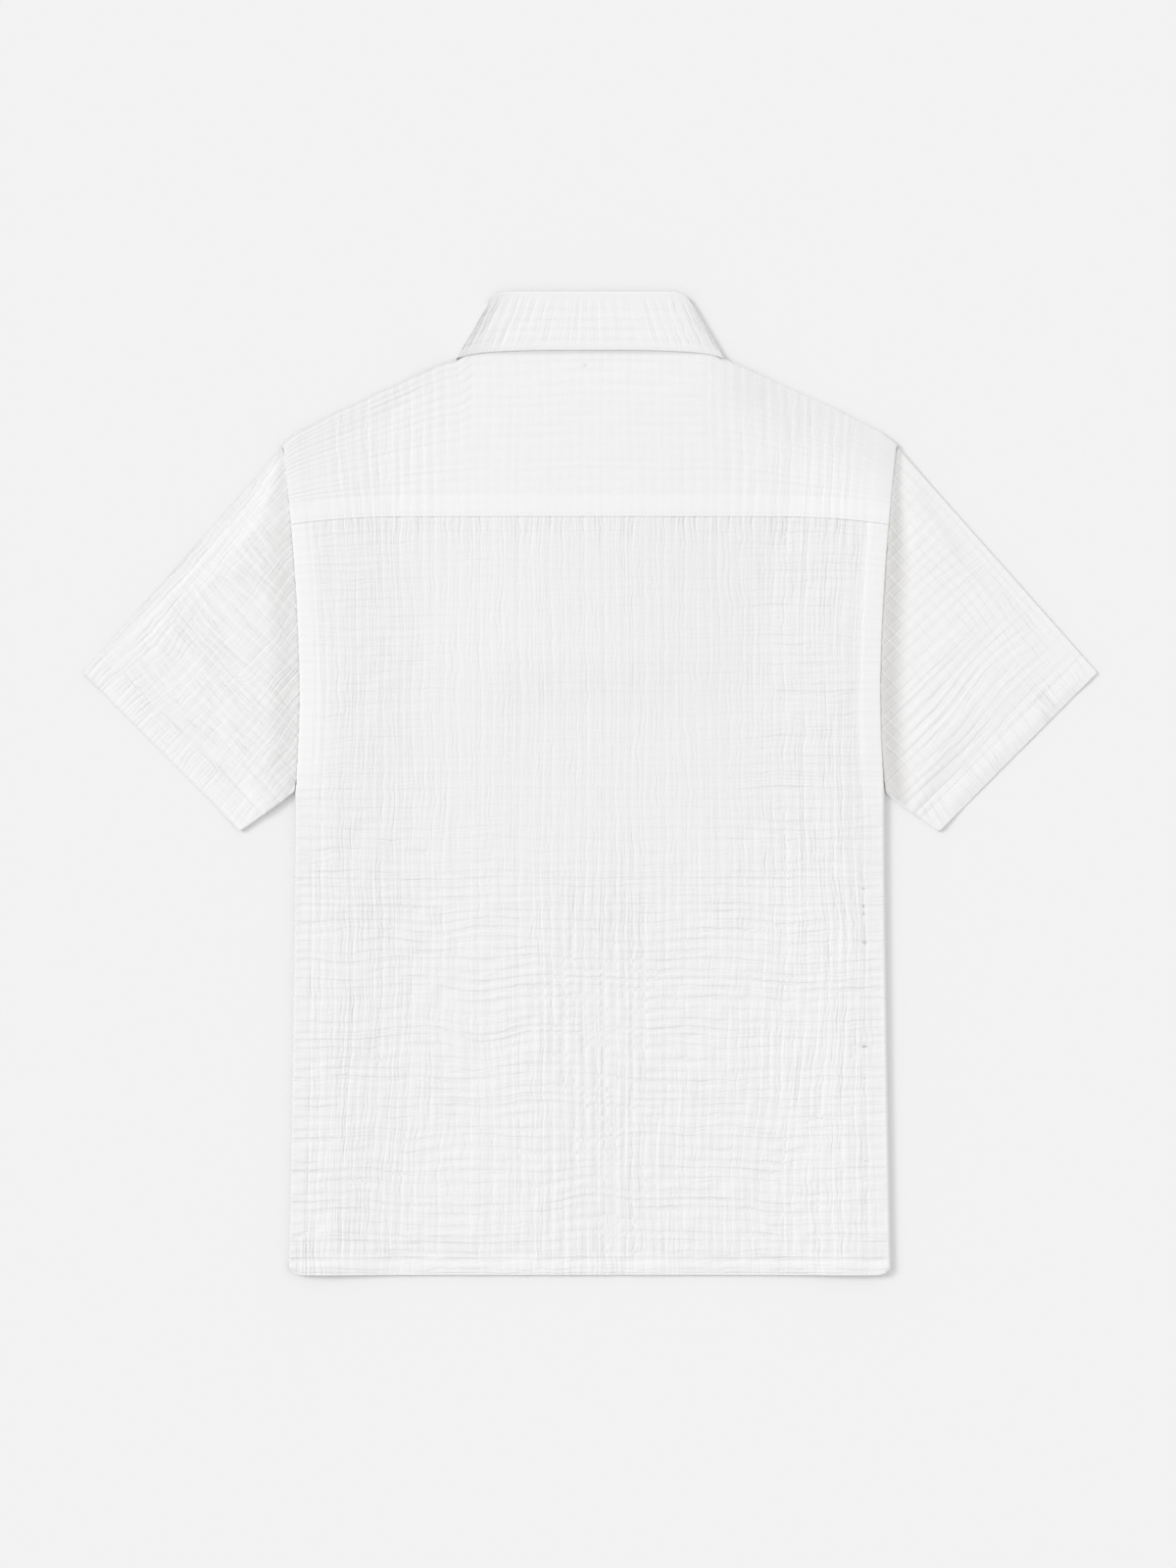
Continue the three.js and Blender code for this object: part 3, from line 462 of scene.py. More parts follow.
class Crinkle:
    """The relief of one piece of cloth, and the marks that its material reads."""

    def __init__(self, numbers, cloth, pulls, seed, reach=(42.0, 27.0)):
        ones = np.ones(np.broadcast(*numbers).shape)
        self.number = [number * ones for number in numbers]
        self.cloth = [place * ones for place in cloth]
        self.pull = [pull * ones for pull in pulls]
        x, y = self.cloth
        self.depth = [
            self.pull[0] * crease_depth(self.number[0], y, reach[0], seed),
            self.pull[1] * crease_depth(self.number[1], x, reach[1], seed + 1),
        ]
        lumps = np.maximum(*self.pull) * uneven(x / PILLOW["size"], y / PILLOW["size"], seed + 2)
        sunk = [depth * trough(number) for number, depth in zip(self.number, self.depth)]
        together = sunk[0] + sunk[1] - CROSSING * sunk[0] * sunk[1]
        self.relief = PILLOW["height"] * lumps - CRINKLE * together
        # The first mark greys the white, partly for light through single gauze and partly as painted
        # shade; hollow is painted shade; fine is the share of fine bump.
        self.sheer, self.hollow, self.fine = 0.0, 0.0, 0.45

    def marks(self):
        zero = np.zeros(self.relief.shape)
        return {
            "sheer": np.stack([self.sheer + zero, self.hollow + zero, self.fine + zero], axis=-1),
            "crease": np.stack([*self.number, zero], axis=-1),
            "depth": np.stack([*self.depth, zero], axis=-1),
            "pull": np.stack([*self.pull, zero], axis=-1),
            "cloth": np.stack([*self.cloth, zero], axis=-1),
        }


def sway(x, y, seed, amount=2.2):
    """How far creases wander sideways from a straight line."""
    return amount * uneven(x / SWAY_SIZE[0], y / SWAY_SIZE[1], seed)


def wander(number, along, seed):
    """How far each crease strays by itself."""
    return STRAY["amount"] * uneven(np.rint(number) * STRAY["apart"], along / STRAY["length"], seed)


# %% [markdown]
# A wall of cloth
#
# Cloth has two faces. Only the outer one needs its creases, so the inner face keeps a few of the rows and
# columns, and a narrow rim joins the two along every edge. That leaves nearly all of the triangles for the
# face that shows. Blocks of the grid can be left out, as for the slit of the placket.

# %% Wall of cloth
COTTON_SLOT = "cotton"
BUTTON_SLOT = "button"
materials = {}


def signed_volume(points, faces):
    """Six times the volume inside faces that point out, and negative where they point in."""
    total = 0.0
    for size in sorted({len(face) for face in faces}):
        same = points[np.array([face for face in faces if len(face) == size])]
        for k in range(1, size - 1):
            total += np.einsum("ij,ij->", same[:, 0], np.cross(same[:, k], same[:, k + 1]))
    return total


def make_mesh(name, points, faces, smooth, marks, slot):
    """A piece in metres from points in millimetres, with its points' marks and its material."""
    used = np.unique([corner for face in faces for corner in face])
    renumber = np.zeros(len(points), int)
    renumber[used] = np.arange(len(used))
    if signed_volume(points, faces) < 0:
        faces = [face[::-1] for face in faces]
    mesh = bpy.data.meshes.new(name)
    mesh.from_pydata(points[used] * MM, [], [renumber[face].tolist() for face in faces])
    mesh.polygons.foreach_set("use_smooth", smooth)
    for mark, values in marks.items():
        attribute = mesh.attributes.new(mark, "FLOAT_VECTOR", "POINT")
        attribute.data.foreach_set("vector", values[used].astype(np.float32).ravel())
    mesh.materials.append(materials[slot])
    mesh.update()
    piece = bpy.data.objects.new(name, mesh)
    bpy.context.scene.collection.objects.link(piece)
    triangles = sum(len(face) - 2 for face in faces)
    print(f"{name}: {triangles} triangles")
    return piece


def wall(name, outer, inner, keep, marks, closed=False, has=None):
    """A closed wall. keep gives the rows and columns of the grid that the inner face has too."""
    keep_rows, keep_columns = (list(kept) for kept in keep)
    rows, columns = outer.shape[:2]
    kept = np.ix_(keep_rows, keep_columns)
    fine = np.arange(rows * columns).reshape(rows, columns)
    plain = rows * columns + np.arange(inner[kept].size // 3).reshape(inner[kept].shape[:2])
    points = np.concatenate([outer.reshape(-1, 3), inner[kept].reshape(-1, 3)])
    values = {}
    for mark, given in marks.items():
        values[mark] = np.concatenate([given.reshape(-1, 3), given[kept].reshape(-1, 3)])
    if closed:
        fine = np.hstack([fine, fine[:, :1]])
        plain = np.hstack([plain, plain[:, :1]])
        keep_columns.append(columns)
    blocks = (len(keep_rows) - 1, len(keep_columns) - 1)

    def present(b, c):
        c = c % blocks[1] if closed else c
        inside = 0 <= b < blocks[0] and 0 <= c < blocks[1]
        return inside and (has is None or has[b, c])

    faces, rim = [], []
    for b, c in np.ndindex(*blocks):
        if not present(b, c):
            continue
        in_rows = slice(keep_rows[b], keep_rows[b + 1] + 1)
        in_columns = slice(keep_columns[c], keep_columns[c + 1] + 1)
        patch = fine[in_rows, in_columns]
        corners = [patch[:-1, :-1], patch[:-1, 1:], patch[1:, 1:], patch[1:, :-1]]
        faces += list(np.stack(corners, axis=-1).reshape(-1, 4))
        rim.append([plain[b, c], plain[b + 1, c], plain[b + 1, c + 1], plain[b, c + 1]])
        if not present(b - 1, c):
            rim.append([*patch[0, ::-1], plain[b, c], plain[b, c + 1]])
        if not present(b + 1, c):
            rim.append([*patch[-1], plain[b + 1, c + 1], plain[b + 1, c]])
        if not present(b, c - 1):
            rim.append([*patch[:, 0], plain[b + 1, c], plain[b, c]])
        if not present(b, c + 1):
            rim.append([*patch[::-1, -1], plain[b, c + 1], plain[b + 1, c + 1]])
    smooth = [True] * len(faces) + [False] * len(rim)
    faces += [np.array(face) for face in rim]
    return make_mesh(name, points, faces, smooth, values, COTTON_SLOT)


def every(lines, step, also=()):
    """Numbers of every few lines, with the first, the last and some others too."""
    last = len(lines) - 1
    return sorted({*range(0, last, step), last, *also})


def all_but_middle(keep, x0, first_row, half_width):
    """Which blocks a wall has that is open down its middle from one row on."""
    keep_rows, keep_columns = keep
    is_middle = [abs(x0[a] + x0[b]) / 2 < half_width for a, b in zip(keep_columns, keep_columns[1:])]
    is_open = [row >= first_row for row in keep_rows[:-1]]
    has = np.ones((len(is_open), len(is_middle)), bool)
    has[np.ix_(is_open, is_middle)] = False
    return has


# %% [markdown]
# Crinkled cotton
#
# The mesh holds each crease, but a real crease ends in a line thinner than any face of the mesh. The
# material draws that line from the crease numbers that the mesh carries, so line and mesh always agree.
# Finer wrinkles run the way the cloth is pulled, and a plain weave of thin threads lies over everything.
# All of it is bump.
#
# The colour is white, with painted shade down in the creases. Gauze also lets light through, so where it
# lies doubled in a hem it is whitest and single cloth is a little greyer. Painted shade is added to that
# grey at folds, edges and ends, and a darker and warmer painted shade lies in the hollows. So the mesh
# carries a mark of how sheer each place is, with its painted shade, and one of how much hollow shade is
# painted there.

# %% Cotton material
COTTON_WHITE = (0.893, 0.8915, 0.893, 1)
# Painted shade in the creases; a grey for sheer cloth that also carries painted shade; a darker, warmer
# painted shade for hollows.
CREASE_PAINTED_SHADE = (0.865, 0.865, 0.865, 1)
SHEER_AND_PAINTED_SHADE_TINT = (0.6, 0.6, 0.604, 1)
HOLLOW_PAINTED_SHADE = (0.675, 0.666, 0.651, 1)
COTTON_FINISH = {
    "Roughness": 0.95, "Specular IOR Level": 0.15, "Sheen Weight": 0.08, "Sheen Roughness": 0.6,
}
THREAD_PITCH = 0.62
BUMP_MM = {"line": 0.065, "finer": 0.6, "wrinkle": 0.32, "weave": 0.035, "fuzz": 0.09}
LINE_SHARPNESS = 9.0
CHANGES_OVER = 32.0                           # finer creases come and go over this length
FINER_SETS = ((2.0, 1.0), (3.0, 0.6))         # how many for each crease, and how strong
FINER_OF_LEVEL = 0.6                          # the level ones count for less
FINER = {"scale": 0.06, "stray": 1.3, "pitch": 0.37, "sharpness": 1.7, "none": 0.3, "full": 0.68}
NOISE_PLANES = {"across": 3.7, "along": 9.1}  # keep the two families' noise apart
WRINKLE_SCALES = ((0.5, 0.045, 1.0), (0.045, 0.5, 1.0))   # fine one way and long the other


class Tree:
    """A new material, and short ways to add shader nodes and join them."""

    def __init__(self, name, finish):
        self.material = bpy.data.materials.new(name)
        self.material.use_nodes = True
        self.nodes = self.material.node_tree.nodes
        self.links = self.material.node_tree.links
        self.shader = self.nodes["Principled BSDF"]
        for socket, value in finish.items():
            self.shader.inputs[socket].default_value = value

    def add(self, kind, settings=None, **inputs):
        node = self.nodes.new(kind)
        for name, value in (settings or {}).items():
            setattr(node, name, value)
        for name, value in inputs.items():
            self.plug(node, int(name[1:]) if name[1:].isdigit() else name.replace("_", " "), value)
        return node

    def plug(self, node, socket, value):
        if isinstance(value, bpy.types.NodeSocket):
            self.links.new(value, node.inputs[socket])
        else:
            node.inputs[socket].default_value = value

    def math(self, operation, *values):
        node = self.nodes.new("ShaderNodeMath")
        node.operation = operation
        for k, value in enumerate(values):
            self.plug(node, k, value)
        return node.outputs[0]

    def blend(self, share, low, high):
        """A colour between two others."""
        settings = {"data_type": "RGBA", "clamp_factor": True}
        return self.add("ShaderNodeMix", settings, _0=share, _6=low, _7=high).outputs[2]

    def mark(self, name):
        """A mark that the mesh carries: its three numbers, and all of them as one vector."""
        vector = self.add("ShaderNodeAttribute", {"attribute_name": name}).outputs["Vector"]
        return self.add("ShaderNodeSeparateXYZ", Vector=vector).outputs, vector

    def surface(self, colour, height, strength, distance):
        """The material, with its colour and its relief joined to the shader."""
        bump = self.add("ShaderNodeBump", Height=height, Strength=strength, Distance=distance)
        self.plug(self.shader, "Normal", bump.outputs[0])
        self.plug(self.shader, "Base Color", colour)
        return self.material


def thin_line(tree, number, depth):
    """1 in the bottom of a deep crease, fading within half a millimetre."""
    from_crease = tree.math("PINGPONG", number, 0.5)
    nearness = tree.math("MULTIPLY_ADD", from_crease, -2.0, 1.0)
    return tree.math("MULTIPLY", tree.math("POWER", nearness, LINE_SHARPNESS), depth)


def finer_creases(tree, number, times, place, plane, along, pull):
    """Soft creases between the main ones, each with a strength that comes and goes along it."""
    noise = tree.add("ShaderNodeTexNoise", Vector=place, Scale=FINER["scale"], Detail=1.0).outputs[0]
    moved = tree.math("MULTIPLY_ADD", noise, FINER["stray"], tree.math("MULTIPLY", number, times))
    from_crease = tree.math("PINGPONG", moved, 0.5)
    nearness = tree.math("MULTIPLY_ADD", from_crease, -2.0, 1.0)
    nearness = tree.math("POWER", nearness, FINER["sharpness"])
    own = tree.math("MULTIPLY", tree.math("ROUND", moved), FINER["pitch"])
    spot = tree.add("ShaderNodeCombineXYZ", X=own, Y=along, Z=plane).outputs[0]
    noise = tree.add("ShaderNodeTexNoise", Vector=spot, Scale=1.0, Detail=1.0).outputs[0]
    strength = tree.add("ShaderNodeMapRange", Value=noise, From_Min=FINER["none"], From_Max=FINER["full"])
    return tree.math("MULTIPLY", tree.math("MULTIPLY", nearness, strength.outputs[0]), pull)


def finer_family(tree, number, place, plane, along, pull):
    """All finer creases that run the same way."""
    sets = [
        finer_creases(tree, number, times, place, plane * times, along, tree.math("MULTIPLY", pull, share))
        for times, share in FINER_SETS
    ]
    return tree.math("ADD", *sets)


def wrinkles(tree, place, stretch, pull):
    """Fine uneven wrinkles, long in one direction, as strong as the cloth is pulled."""
    scaled = tree.add("ShaderNodeVectorMath", {"operation": "MULTIPLY"}, _0=place, _1=stretch)
    noise = tree.add("ShaderNodeTexNoise", Vector=scaled.outputs[0], Scale=1.0, Detail=2.0)
    return tree.math("MULTIPLY", noise.outputs[0], pull)


def make_cotton():
    tree = Tree("crinkled_cotton", COTTON_FINISH)
    (across, along, _), _ = tree.mark("crease")
    (depth_across, depth_along, _), _ = tree.mark("depth")
    (pull_across, pull_along, _), _ = tree.mark("pull")
    (cloth_x, cloth_y, _), cloth = tree.mark("cloth")
    (sheer, hollow, fine_share), _ = tree.mark("sheer")
    slow_x, slow_y = (tree.math("MULTIPLY", value, 1 / CHANGES_OVER) for value in (cloth_x, cloth_y))

    finer_across = finer_family(tree, across, cloth, NOISE_PLANES["across"], slow_y, pull_across)
    finer_along = finer_family(tree, along, cloth, NOISE_PLANES["along"], slow_x, pull_along)
    finer = tree.math("MULTIPLY_ADD", finer_along, FINER_OF_LEVEL, finer_across)
    finer = tree.math("MULTIPLY", finer, fine_share)
    lines = [thin_line(tree, across, depth_across), thin_line(tree, along, depth_along)]
    lines = tree.math("ADD", *lines)
    pulls = (pull_across, pull_along)
    fine = [wrinkles(tree, cloth, scale, pull) for scale, pull in zip(WRINKLE_SCALES, pulls)]
    fine = tree.math("MULTIPLY", tree.math("ADD", *fine), fine_share)
    wave_scale = 2 * math.pi / (20 * THREAD_PITCH)
    wave = {"Vector": cloth, "Scale": wave_scale, "Distortion": 0.6}
    threads = [tree.add("ShaderNodeTexWave", {"bands_direction": way}, **wave) for way in ("X", "Y")]
    weave = tree.math("MAXIMUM", *[thread.outputs[1] for thread in threads])
    fuzz = tree.add("ShaderNodeTexNoise", Vector=cloth, Scale=1.1, Detail=3.0).outputs[0]

    height = tree.math("MULTIPLY", lines, -BUMP_MM["line"])
    height = tree.math("MULTIPLY_ADD", finer, -BUMP_MM["finer"], height)
    height = tree.math("MULTIPLY_ADD", fine, BUMP_MM["wrinkle"], height)
    height = tree.math("MULTIPLY_ADD", weave, BUMP_MM["weave"], height)
    height = tree.math("MULTIPLY_ADD", fuzz, BUMP_MM["fuzz"], height)

    # Painted shade: the sheer mark with its shaded folds and edges, the hollows, and the bottom line of
    # each crease.
    colour = tree.blend(sheer, COTTON_WHITE, SHEER_AND_PAINTED_SHADE_TINT)
    colour = tree.blend(hollow, colour, HOLLOW_PAINTED_SHADE)
    colour = tree.blend(lines, colour, CREASE_PAINTED_SHADE)
    return tree.surface(colour, height, 1.0, MM)


materials[COTTON_SLOT] = make_cotton()
print("Cotton has", len(materials[COTTON_SLOT].node_tree.nodes), "nodes")

# %% [markdown]
# Columns of the body
#
# The columns of points are shared by the back and the yoke, so the two fit along their seam. On the back
# the photograph shows long upright creases from the yoke to the waist, and below the waist a mesh of
# upright and level ones, strongest down the middle. On the yoke the level ones lead in the middle, and
# upright ones near the shoulders.

# %% Columns of the body
EDGE_TURNS = np.radians([90, 72, 54, 36, 18, 0])
BESIDE_EDGE = (4.0, 6.0)
ARM_ROLL = 1.0                                # the back's edge rolls down to the sleeve
FOLD_SQUEEZE = 0.4                            # a fold that is pressed flat is narrower by this
LEAN = {-1: -9.0, 1: -15.0}                   # of the columns low down, on the left and on the right
CREASED_X = CHEST_X - 8.0
COLUMN_GAP = 8.3


class Columns:
    """Columns of a body panel, from the left side to the right."""

    def __init__(self, stops, gap, seed, cell=CREASE_CELL):
        beside = CHEST_X - np.array(BESIDE_EDGE)
        edge = np.full(len(EDGE_TURNS), CHEST_X)
        creased = crease_lines(stops, gap, seed, cell)
        self.x0 = np.concatenate([-edge, -beside, creased.place, beside[::-1], edge])
        flat = np.zeros(len(creased) + 2 * len(beside))
        self.turn = np.concatenate([EDGE_TURNS, flat, EDGE_TURNS[::-1]])
        self.is_edge = np.abs(self.x0) == CHEST_X
        none = np.full(len(beside) + len(edge), NO_CREASE)
        self.number = np.concatenate([none, creased.number, none + len(creased)])

    def keep(self, step, also=()):
        """Columns that the inner face has too."""
        edges = [k for k, is_edge in enumerate(self.is_edge) if is_edge]
        neck = [int(np.argmin(np.abs(self.x0 - side * NECK_SIDE_X))) for side in (-1, 1)]
        return every(self.x0, step, (*neck, *also, *edges[:: len(EDGE_TURNS) - 1]))


body = Columns([-CREASED_X, -NECK_SIDE_X, NECK_SIDE_X, CREASED_X], COLUMN_GAP, seed=3)


def beside_roll(y):
    """1 beside the side seam, where the cloth rolls over, and 0 beside the armhole."""
    return fall(y, UNDERARM[1], UNDERARM[1] + UNDERARM_TURN)


def band_length(y):
    """1 along the armhole, where the allowance is pressed flat, and fading out below the underarm."""
    return rise(y, -70.0, 40.0)


def back_surface(y, y_for_sway, seed=5):
    """The back or the yoke before its crinkle: x, height, drop at the side, and the way it faces."""
    rolled = beside_roll(y)
    radius = mix(ARM_ROLL, ROLL_RADIUS, rolled)
    side = np.sign(body.x0)
    away = radius * (1 - np.sin(body.turn)) * np.where(side < 0, FOLD_SQUEEZE, 1.0)
    steady = rise(CHEST_X - np.abs(body.x0), 8.0, 30.0)
    strays = sway(body.x0, y_for_sway, seed) + wander(body.number, y_for_sway, seed + 1)
    leaning = rise(np.abs(body.x0), 70.0, 160.0) * fall(np.abs(body.x0), 170.0, 232.0)
    lean = by_side(side, LEAN) * leaning * fall(y, -390.0, -110.0)
    free_x = column_x(body.x0, y) + steady * strays + lean
    x = np.where(body.is_edge, side * (side_at(y) - away), free_x)
    from_side = np.maximum(side_at(y) - np.abs(x), 0.0)
    band = BAND["height"] * fall(from_side, BAND["width"] - 5.0, BAND["width"] + 5.0) * band_length(y)
    top = back_low(x, y, from_side) + CLOTH + band
    flat = np.zeros(y.shape)
    facing = np.stack([side * np.sin(body.turn) + flat, flat, np.cos(body.turn) + flat], axis=-1)
    return x, top, radius * (1 - np.cos(body.turn)), facing


print("The body has", len(body.x0), "columns")

# %% [markdown]
# The back panel
#
# One large piece from the hem to the yoke seam. It could be a plane with a displacement texture, but then
# the creases would end at random places and miss the seams. Here its rows and columns lie along the
# creases, the hem is a double turn with a line of stitches, and the top edge turns down into the seam.

# %% Back panel
ROW_GAP = 7.9
HEM_RADIUS = (CLOTH + HEM_EXTRA) / 2
SEAM_RADIUS = 0.6
SEAM_SLIT = 0.03                              # from the middle of a seam to either piece
HEM_STITCH = 13.4                             # from the edge of the hem
HEM_SETBACK = 5.0                             # the hem underneath ends a little sooner
HEM_BEND = 0.6                                # so the upper one bends down over it
TUCKED = 0.25                                 # a hidden edge hardly drops
CALM = 0.7                                    # crinkle left where a stitched band holds the cloth
SHEER = {                                     # how much light comes through from below
    "back": 0.15, "low": 0.1, "middle": 0.05, "hem": 0.02,
    "yoke": 0.09, "left": 0.08, "right": 0.075, "collar": 0.08,
}
SIDE_PAINTED_SHADE = 0.026                            # painted shade, more towards the right and less to the left
FOLD_PAINTED_SHADE = {-1: 0.93, 1: 0.1}               # painted shade at the folds on the left and on the right
STITCH_GROOVE = {"depth": 0.26, "width": 0.9}
CORNER = {"rise": 4.0, "from_x": 226.0}       # where the hem turns up at its corners
SLOW_BEND = 4.2                               # of the level creases low on the back
WAIST = (-150.0, 10.0)                        # the low part of the back ends, and the high one begins
BACK_PULL = {                                 # low and high, each: all over, middle, flanks, right flank
    "upright": ((0.46, 0.76, 0.28, 0.0), (0.34, 0.0, 0.1, 0.06)),
    "level": ((1.14, 0.26, -0.1, 0.0), (0.26, 0.0, 0.28, 0.14)),
    "fine": ((0.74, -0.4, 0.04, 0.0), (1.18, 0.0, -0.12, 0.0)),
}

BACK_FOLDS = [
    {"start": (6, -60), "end": (14, -420), "width": 14.0, "height": -0.3},
    {"start": (19, -230), "end": (18, -440), "width": 5.0, "height": -0.3},
    {"start": (-70, 150), "end": (-88, -60), "width": 20.0, "height": 0.35},
    {"start": (96, 170), "end": (80, -30), "width": 18.0, "height": 0.3},
    {"start": (-200, -120), "end": (-60, -190), "width": 13.0, "height": 0.3},
    {"start": (70, -230), "end": (220, -205), "width": 12.0, "height": 0.3},
    {"start": (-225, -340), "end": (-150, -392), "width": 7.0, "height": 0.35},
    {"start": (-241, -366), "end": (-211, -355), "width": 1.6, "height": -0.9},
]


def stitch_groove(distance):
    """A line of stitches pulls the cloth down."""
    return -STITCH_GROOVE["depth"] * np.exp(-((distance / STITCH_GROOVE["width"]) ** 2))


def hem_round(x0):
    """The corners of the hem are a little round."""
    into_corner = (np.abs(x0) - CORNER["from_x"]) / (CHEST_X - CORNER["from_x"])
    return CORNER["rise"] * np.clip(into_corner, 0.0, None) ** 2


def back_pull(x, y):
    """How strong upright, level and finer creases are on the back."""
    middle = fall(np.abs(x - 8.0), 20.0, 70.0)
    flank = rise(np.abs(x), 110.0, 165.0)
    upper = rise(y - 40.0 * flank + 34.0 * uneven(x / 42.0, 0.0 * y, 13), *WAIST)
    right = flank * (x > 0)
    pulls = {}
    for name, pull in BACK_PULL.items():
        low, high = (
            all_over + at_middle * middle + at_flank * flank + at_right * right
            for all_over, at_middle, at_flank, at_right in pull
        )
        pulls[name] = mix(low, high, upper)
    patches = 0.2 * uneven(x / 70.0 + 3.0, y / 55.0, 11)
    under_seam = 0.25 * rise(y, 185.0, 208.0)
    return pulls["upright"] * (1 + patches) + under_seam, pulls["level"] * (1 - patches), pulls["fine"]


def make_back():
    hem_top = HEM_Y + BODY_HEM + HEM_STEP
    rows = (
        edge_lines(HEM_Y, 1, HEM_RADIUS)
        + crease_lines([HEM_Y + 2.6, HEM_Y + HEM_STITCH, hem_top, 0.0], ROW_GAP, 21, ROW_CELL)
    )
    upper = crease_lines([6.0, YOKE_SEAM_Y - 6.0], ROW_GAP, 22, UPPER_CELL)
    upper.number = upper.number + rows.number[-1]
    rows = rows + upper
    rows = rows + plain_lines(YOKE_SEAM_Y - 4.0, YOKE_SEAM_Y - 2.0, 1.0, rows.number[-1] + NO_CREASE)
    rows = rows + edge_lines(YOKE_SEAM_Y - SEAM_SLIT, -1, SEAM_RADIUS, rows.number[-1])

    y0 = rows.place[:, None]
    steady = rise(y0, HEM_Y + 6.0, hem_top + 26.0) * fall(y0, YOKE_SEAM_Y - 30.0, YOKE_SEAM_Y - 5.0)
    strays = sway(y0 * 1.3, body.x0 * 1.6, 6, 2.3) + wander(rows.number[:, None], body.x0, 7)
    slow_bend = SLOW_BEND * fall(y0, -150.0, -60.0) * fall(np.abs(body.x0), 150.0, 205.0)
    strays = strays + slow_bend * uneven(body.x0 / 44.0, y0 / 58.0, 64)
    y = y0 + steady * strays
    y = y + (yoke_seam_y(body.x0) - YOKE_SEAM_Y) * rise(y0, 100.0, YOKE_SEAM_Y)
    y = y + hem_round(body.x0) * fall(y0, HEM_Y, HEM_Y + 8.0)
    x, top, side_drop, facing = back_surface(y, y0)
    lowest = np.where(beside_roll(y) > 0.5, ROLL_RADIUS + SEAM_GAP / 2, 0.0)
    height = np.maximum(top - side_drop, lowest)

    in_hem = fall(y0, HEM_Y + BODY_HEM, hem_top)
    hem_lift = 2 * HEM_EXTRA * fall(y0, HEM_Y + 8.0, hem_top + 12.0) - (height - LAYER - CLOTH)
    height = np.where(body.is_edge, height, height + np.maximum(hem_lift, 0.0))
    height = height - HEM_BEND * fall(y0, HEM_Y, HEM_Y + HEM_SETBACK) * (1 - np.sin(body.turn))
    pulls = back_pull(x, y)
    from_side = side_at(y) - np.abs(x)
    in_band = fall(from_side, BAND["width"], BAND["width"] + 6.0) * band_length(y)
    held = mix(mix(1.0, CALM, in_band), 0.5, in_hem)
    at_edge = fall(CHEST_X - np.abs(body.x0), 8.0, 13.0)
    corner = fall(x, -226.0, -205.0) * fall(y0, HEM_Y + 22.0, HEM_Y + 40.0)
    upright = pulls[0] * held * (1 - at_edge) + 0.6 * corner
    level = mix(pulls[1] * mix(1.0, 1.2, in_hem), 0.4, in_band)
    crinkle = Crinkle((body.number, rows.number[:, None]), (x, y), (upright, level), 31)
    low = SHEER["low"] + SHEER["middle"] * fall(np.abs(x - 12.0), 15.0, 70.0)
    crinkle.sheer = mix(low, SHEER["back"], rise(y, *WAIST))
    crinkle.sheer = mix(crinkle.sheer, SHEER["hem"], np.maximum(in_hem, in_band))
    # Painted shade that grows towards the right.
    to_right = mix(0.3, 1.0, rise(y, *WAIST)) * np.clip(x / 180.0, -1.0, 1.0)
    crinkle.sheer = crinkle.sheer + SIDE_PAINTED_SHADE * to_right
    # Painted shade on the rolled folds, strongest on the left.
    at_fold = np.sin(body.turn) * mix(0.45, 1.0, beside_roll(y))
    crinkle.sheer = crinkle.sheer + by_side(x, FOLD_PAINTED_SHADE) * at_fold
    crinkle.fine = mix(mix(pulls[2], 0.85, in_hem), 0.75, in_band)
    drop = np.where(rows.place > 0.0, TUCKED, 1.0)[:, None] * rows.drop[:, None]
    relief = crinkle.relief + soft_folds(x, y, BACK_FOLDS)
    relief = relief + stitch_groove(y0 - HEM_Y - HEM_STITCH) - drop
    relief = np.where(body.is_edge & (beside_roll(y) > 0.5), -drop, relief)

    middle = np.stack([x, y * np.ones(x.shape), height], axis=-1)
    thickness = CLOTH + HEM_EXTRA * in_hem + 0 * x
    outer = middle + facing * relief[..., None]
    inner = middle - facing * thickness[..., None]
    keep = (every(rows, 5), body.keep(12))
    piece = wall("back_panel_cloth", outer, inner, keep, crinkle.marks())
    return piece, outer, inner, rows


back, back_points, back_inside, back_rows = make_back()
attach(back, "root")
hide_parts("back_panel")

# %% [markdown]
# The yoke
#
# The yoke runs from its seam on the back up to the neckline, rolls over both shoulders and ends at a seam
# on the front. Its lower edge is turned in and stitched, so a smooth raised band runs along the seam. One
# grid covers it all: rows over the back, rows round the shoulder fold, and rows underneath, where the
# part at the neck is left out.

# %% Yoke
YOKE_STITCH = 2.8                             # above the seam
YOKE_BAND = 14.0
YOKE_REACH = 138.0                            # from the seam to the neckline at the centre
UNDER_REACH = 30.0                            # rows from the shoulder fold to the front seam
FOLD_TURNS = np.radians(np.arange(15, 181, 15))
COLLAR_SHADE = 0.7                            # the yoke is shaded along the collar's edge
COLLAR_EDGE = {"y": (342.5, 346.5), "x": (94.0, 103.0)}
# Painted shade below the shoulder folds, more on the right.
SHOULDER_PAINTED_SHADE = {-1: 0.06, 1: 0.15}
TACK = (-3.9, 335.7)                          # one small stitch that pulls the yoke in
TACK_WIDTH = 1.1
TACK_DEPTH = 0.6

YOKE_FOLDS = [
    {"start": (-225, 262), "end": (-120, 320), "width": 7.0, "height": -0.35},
    {"start": (110, 318), "end": (228, 258), "width": 6.0, "height": -0.4},
    {"start": (-90, 336), "end": (-60, 250), "width": 9.0, "height": 0.3},
    {"start": (60, 338), "end": (110, 240), "width": 10.0, "height": 0.3},
]


def yoke_pull(x, y):
    """Level creases lead in the middle and beside the armholes, upright ones at the shoulders."""
    away = np.abs(x)
    armhole = rise(away, 205.0, 222.0)
    shoulder = rise(away, 80.0, 150.0) * fall(away, 200.0, 222.0)
    near_neck = rise(y, 296.0, 322.0)
    return 0.17 + 0.42 * shoulder, mix(0.33, 0.46, shoulder) + 0.05 * armhole + 0.2 * near_neck


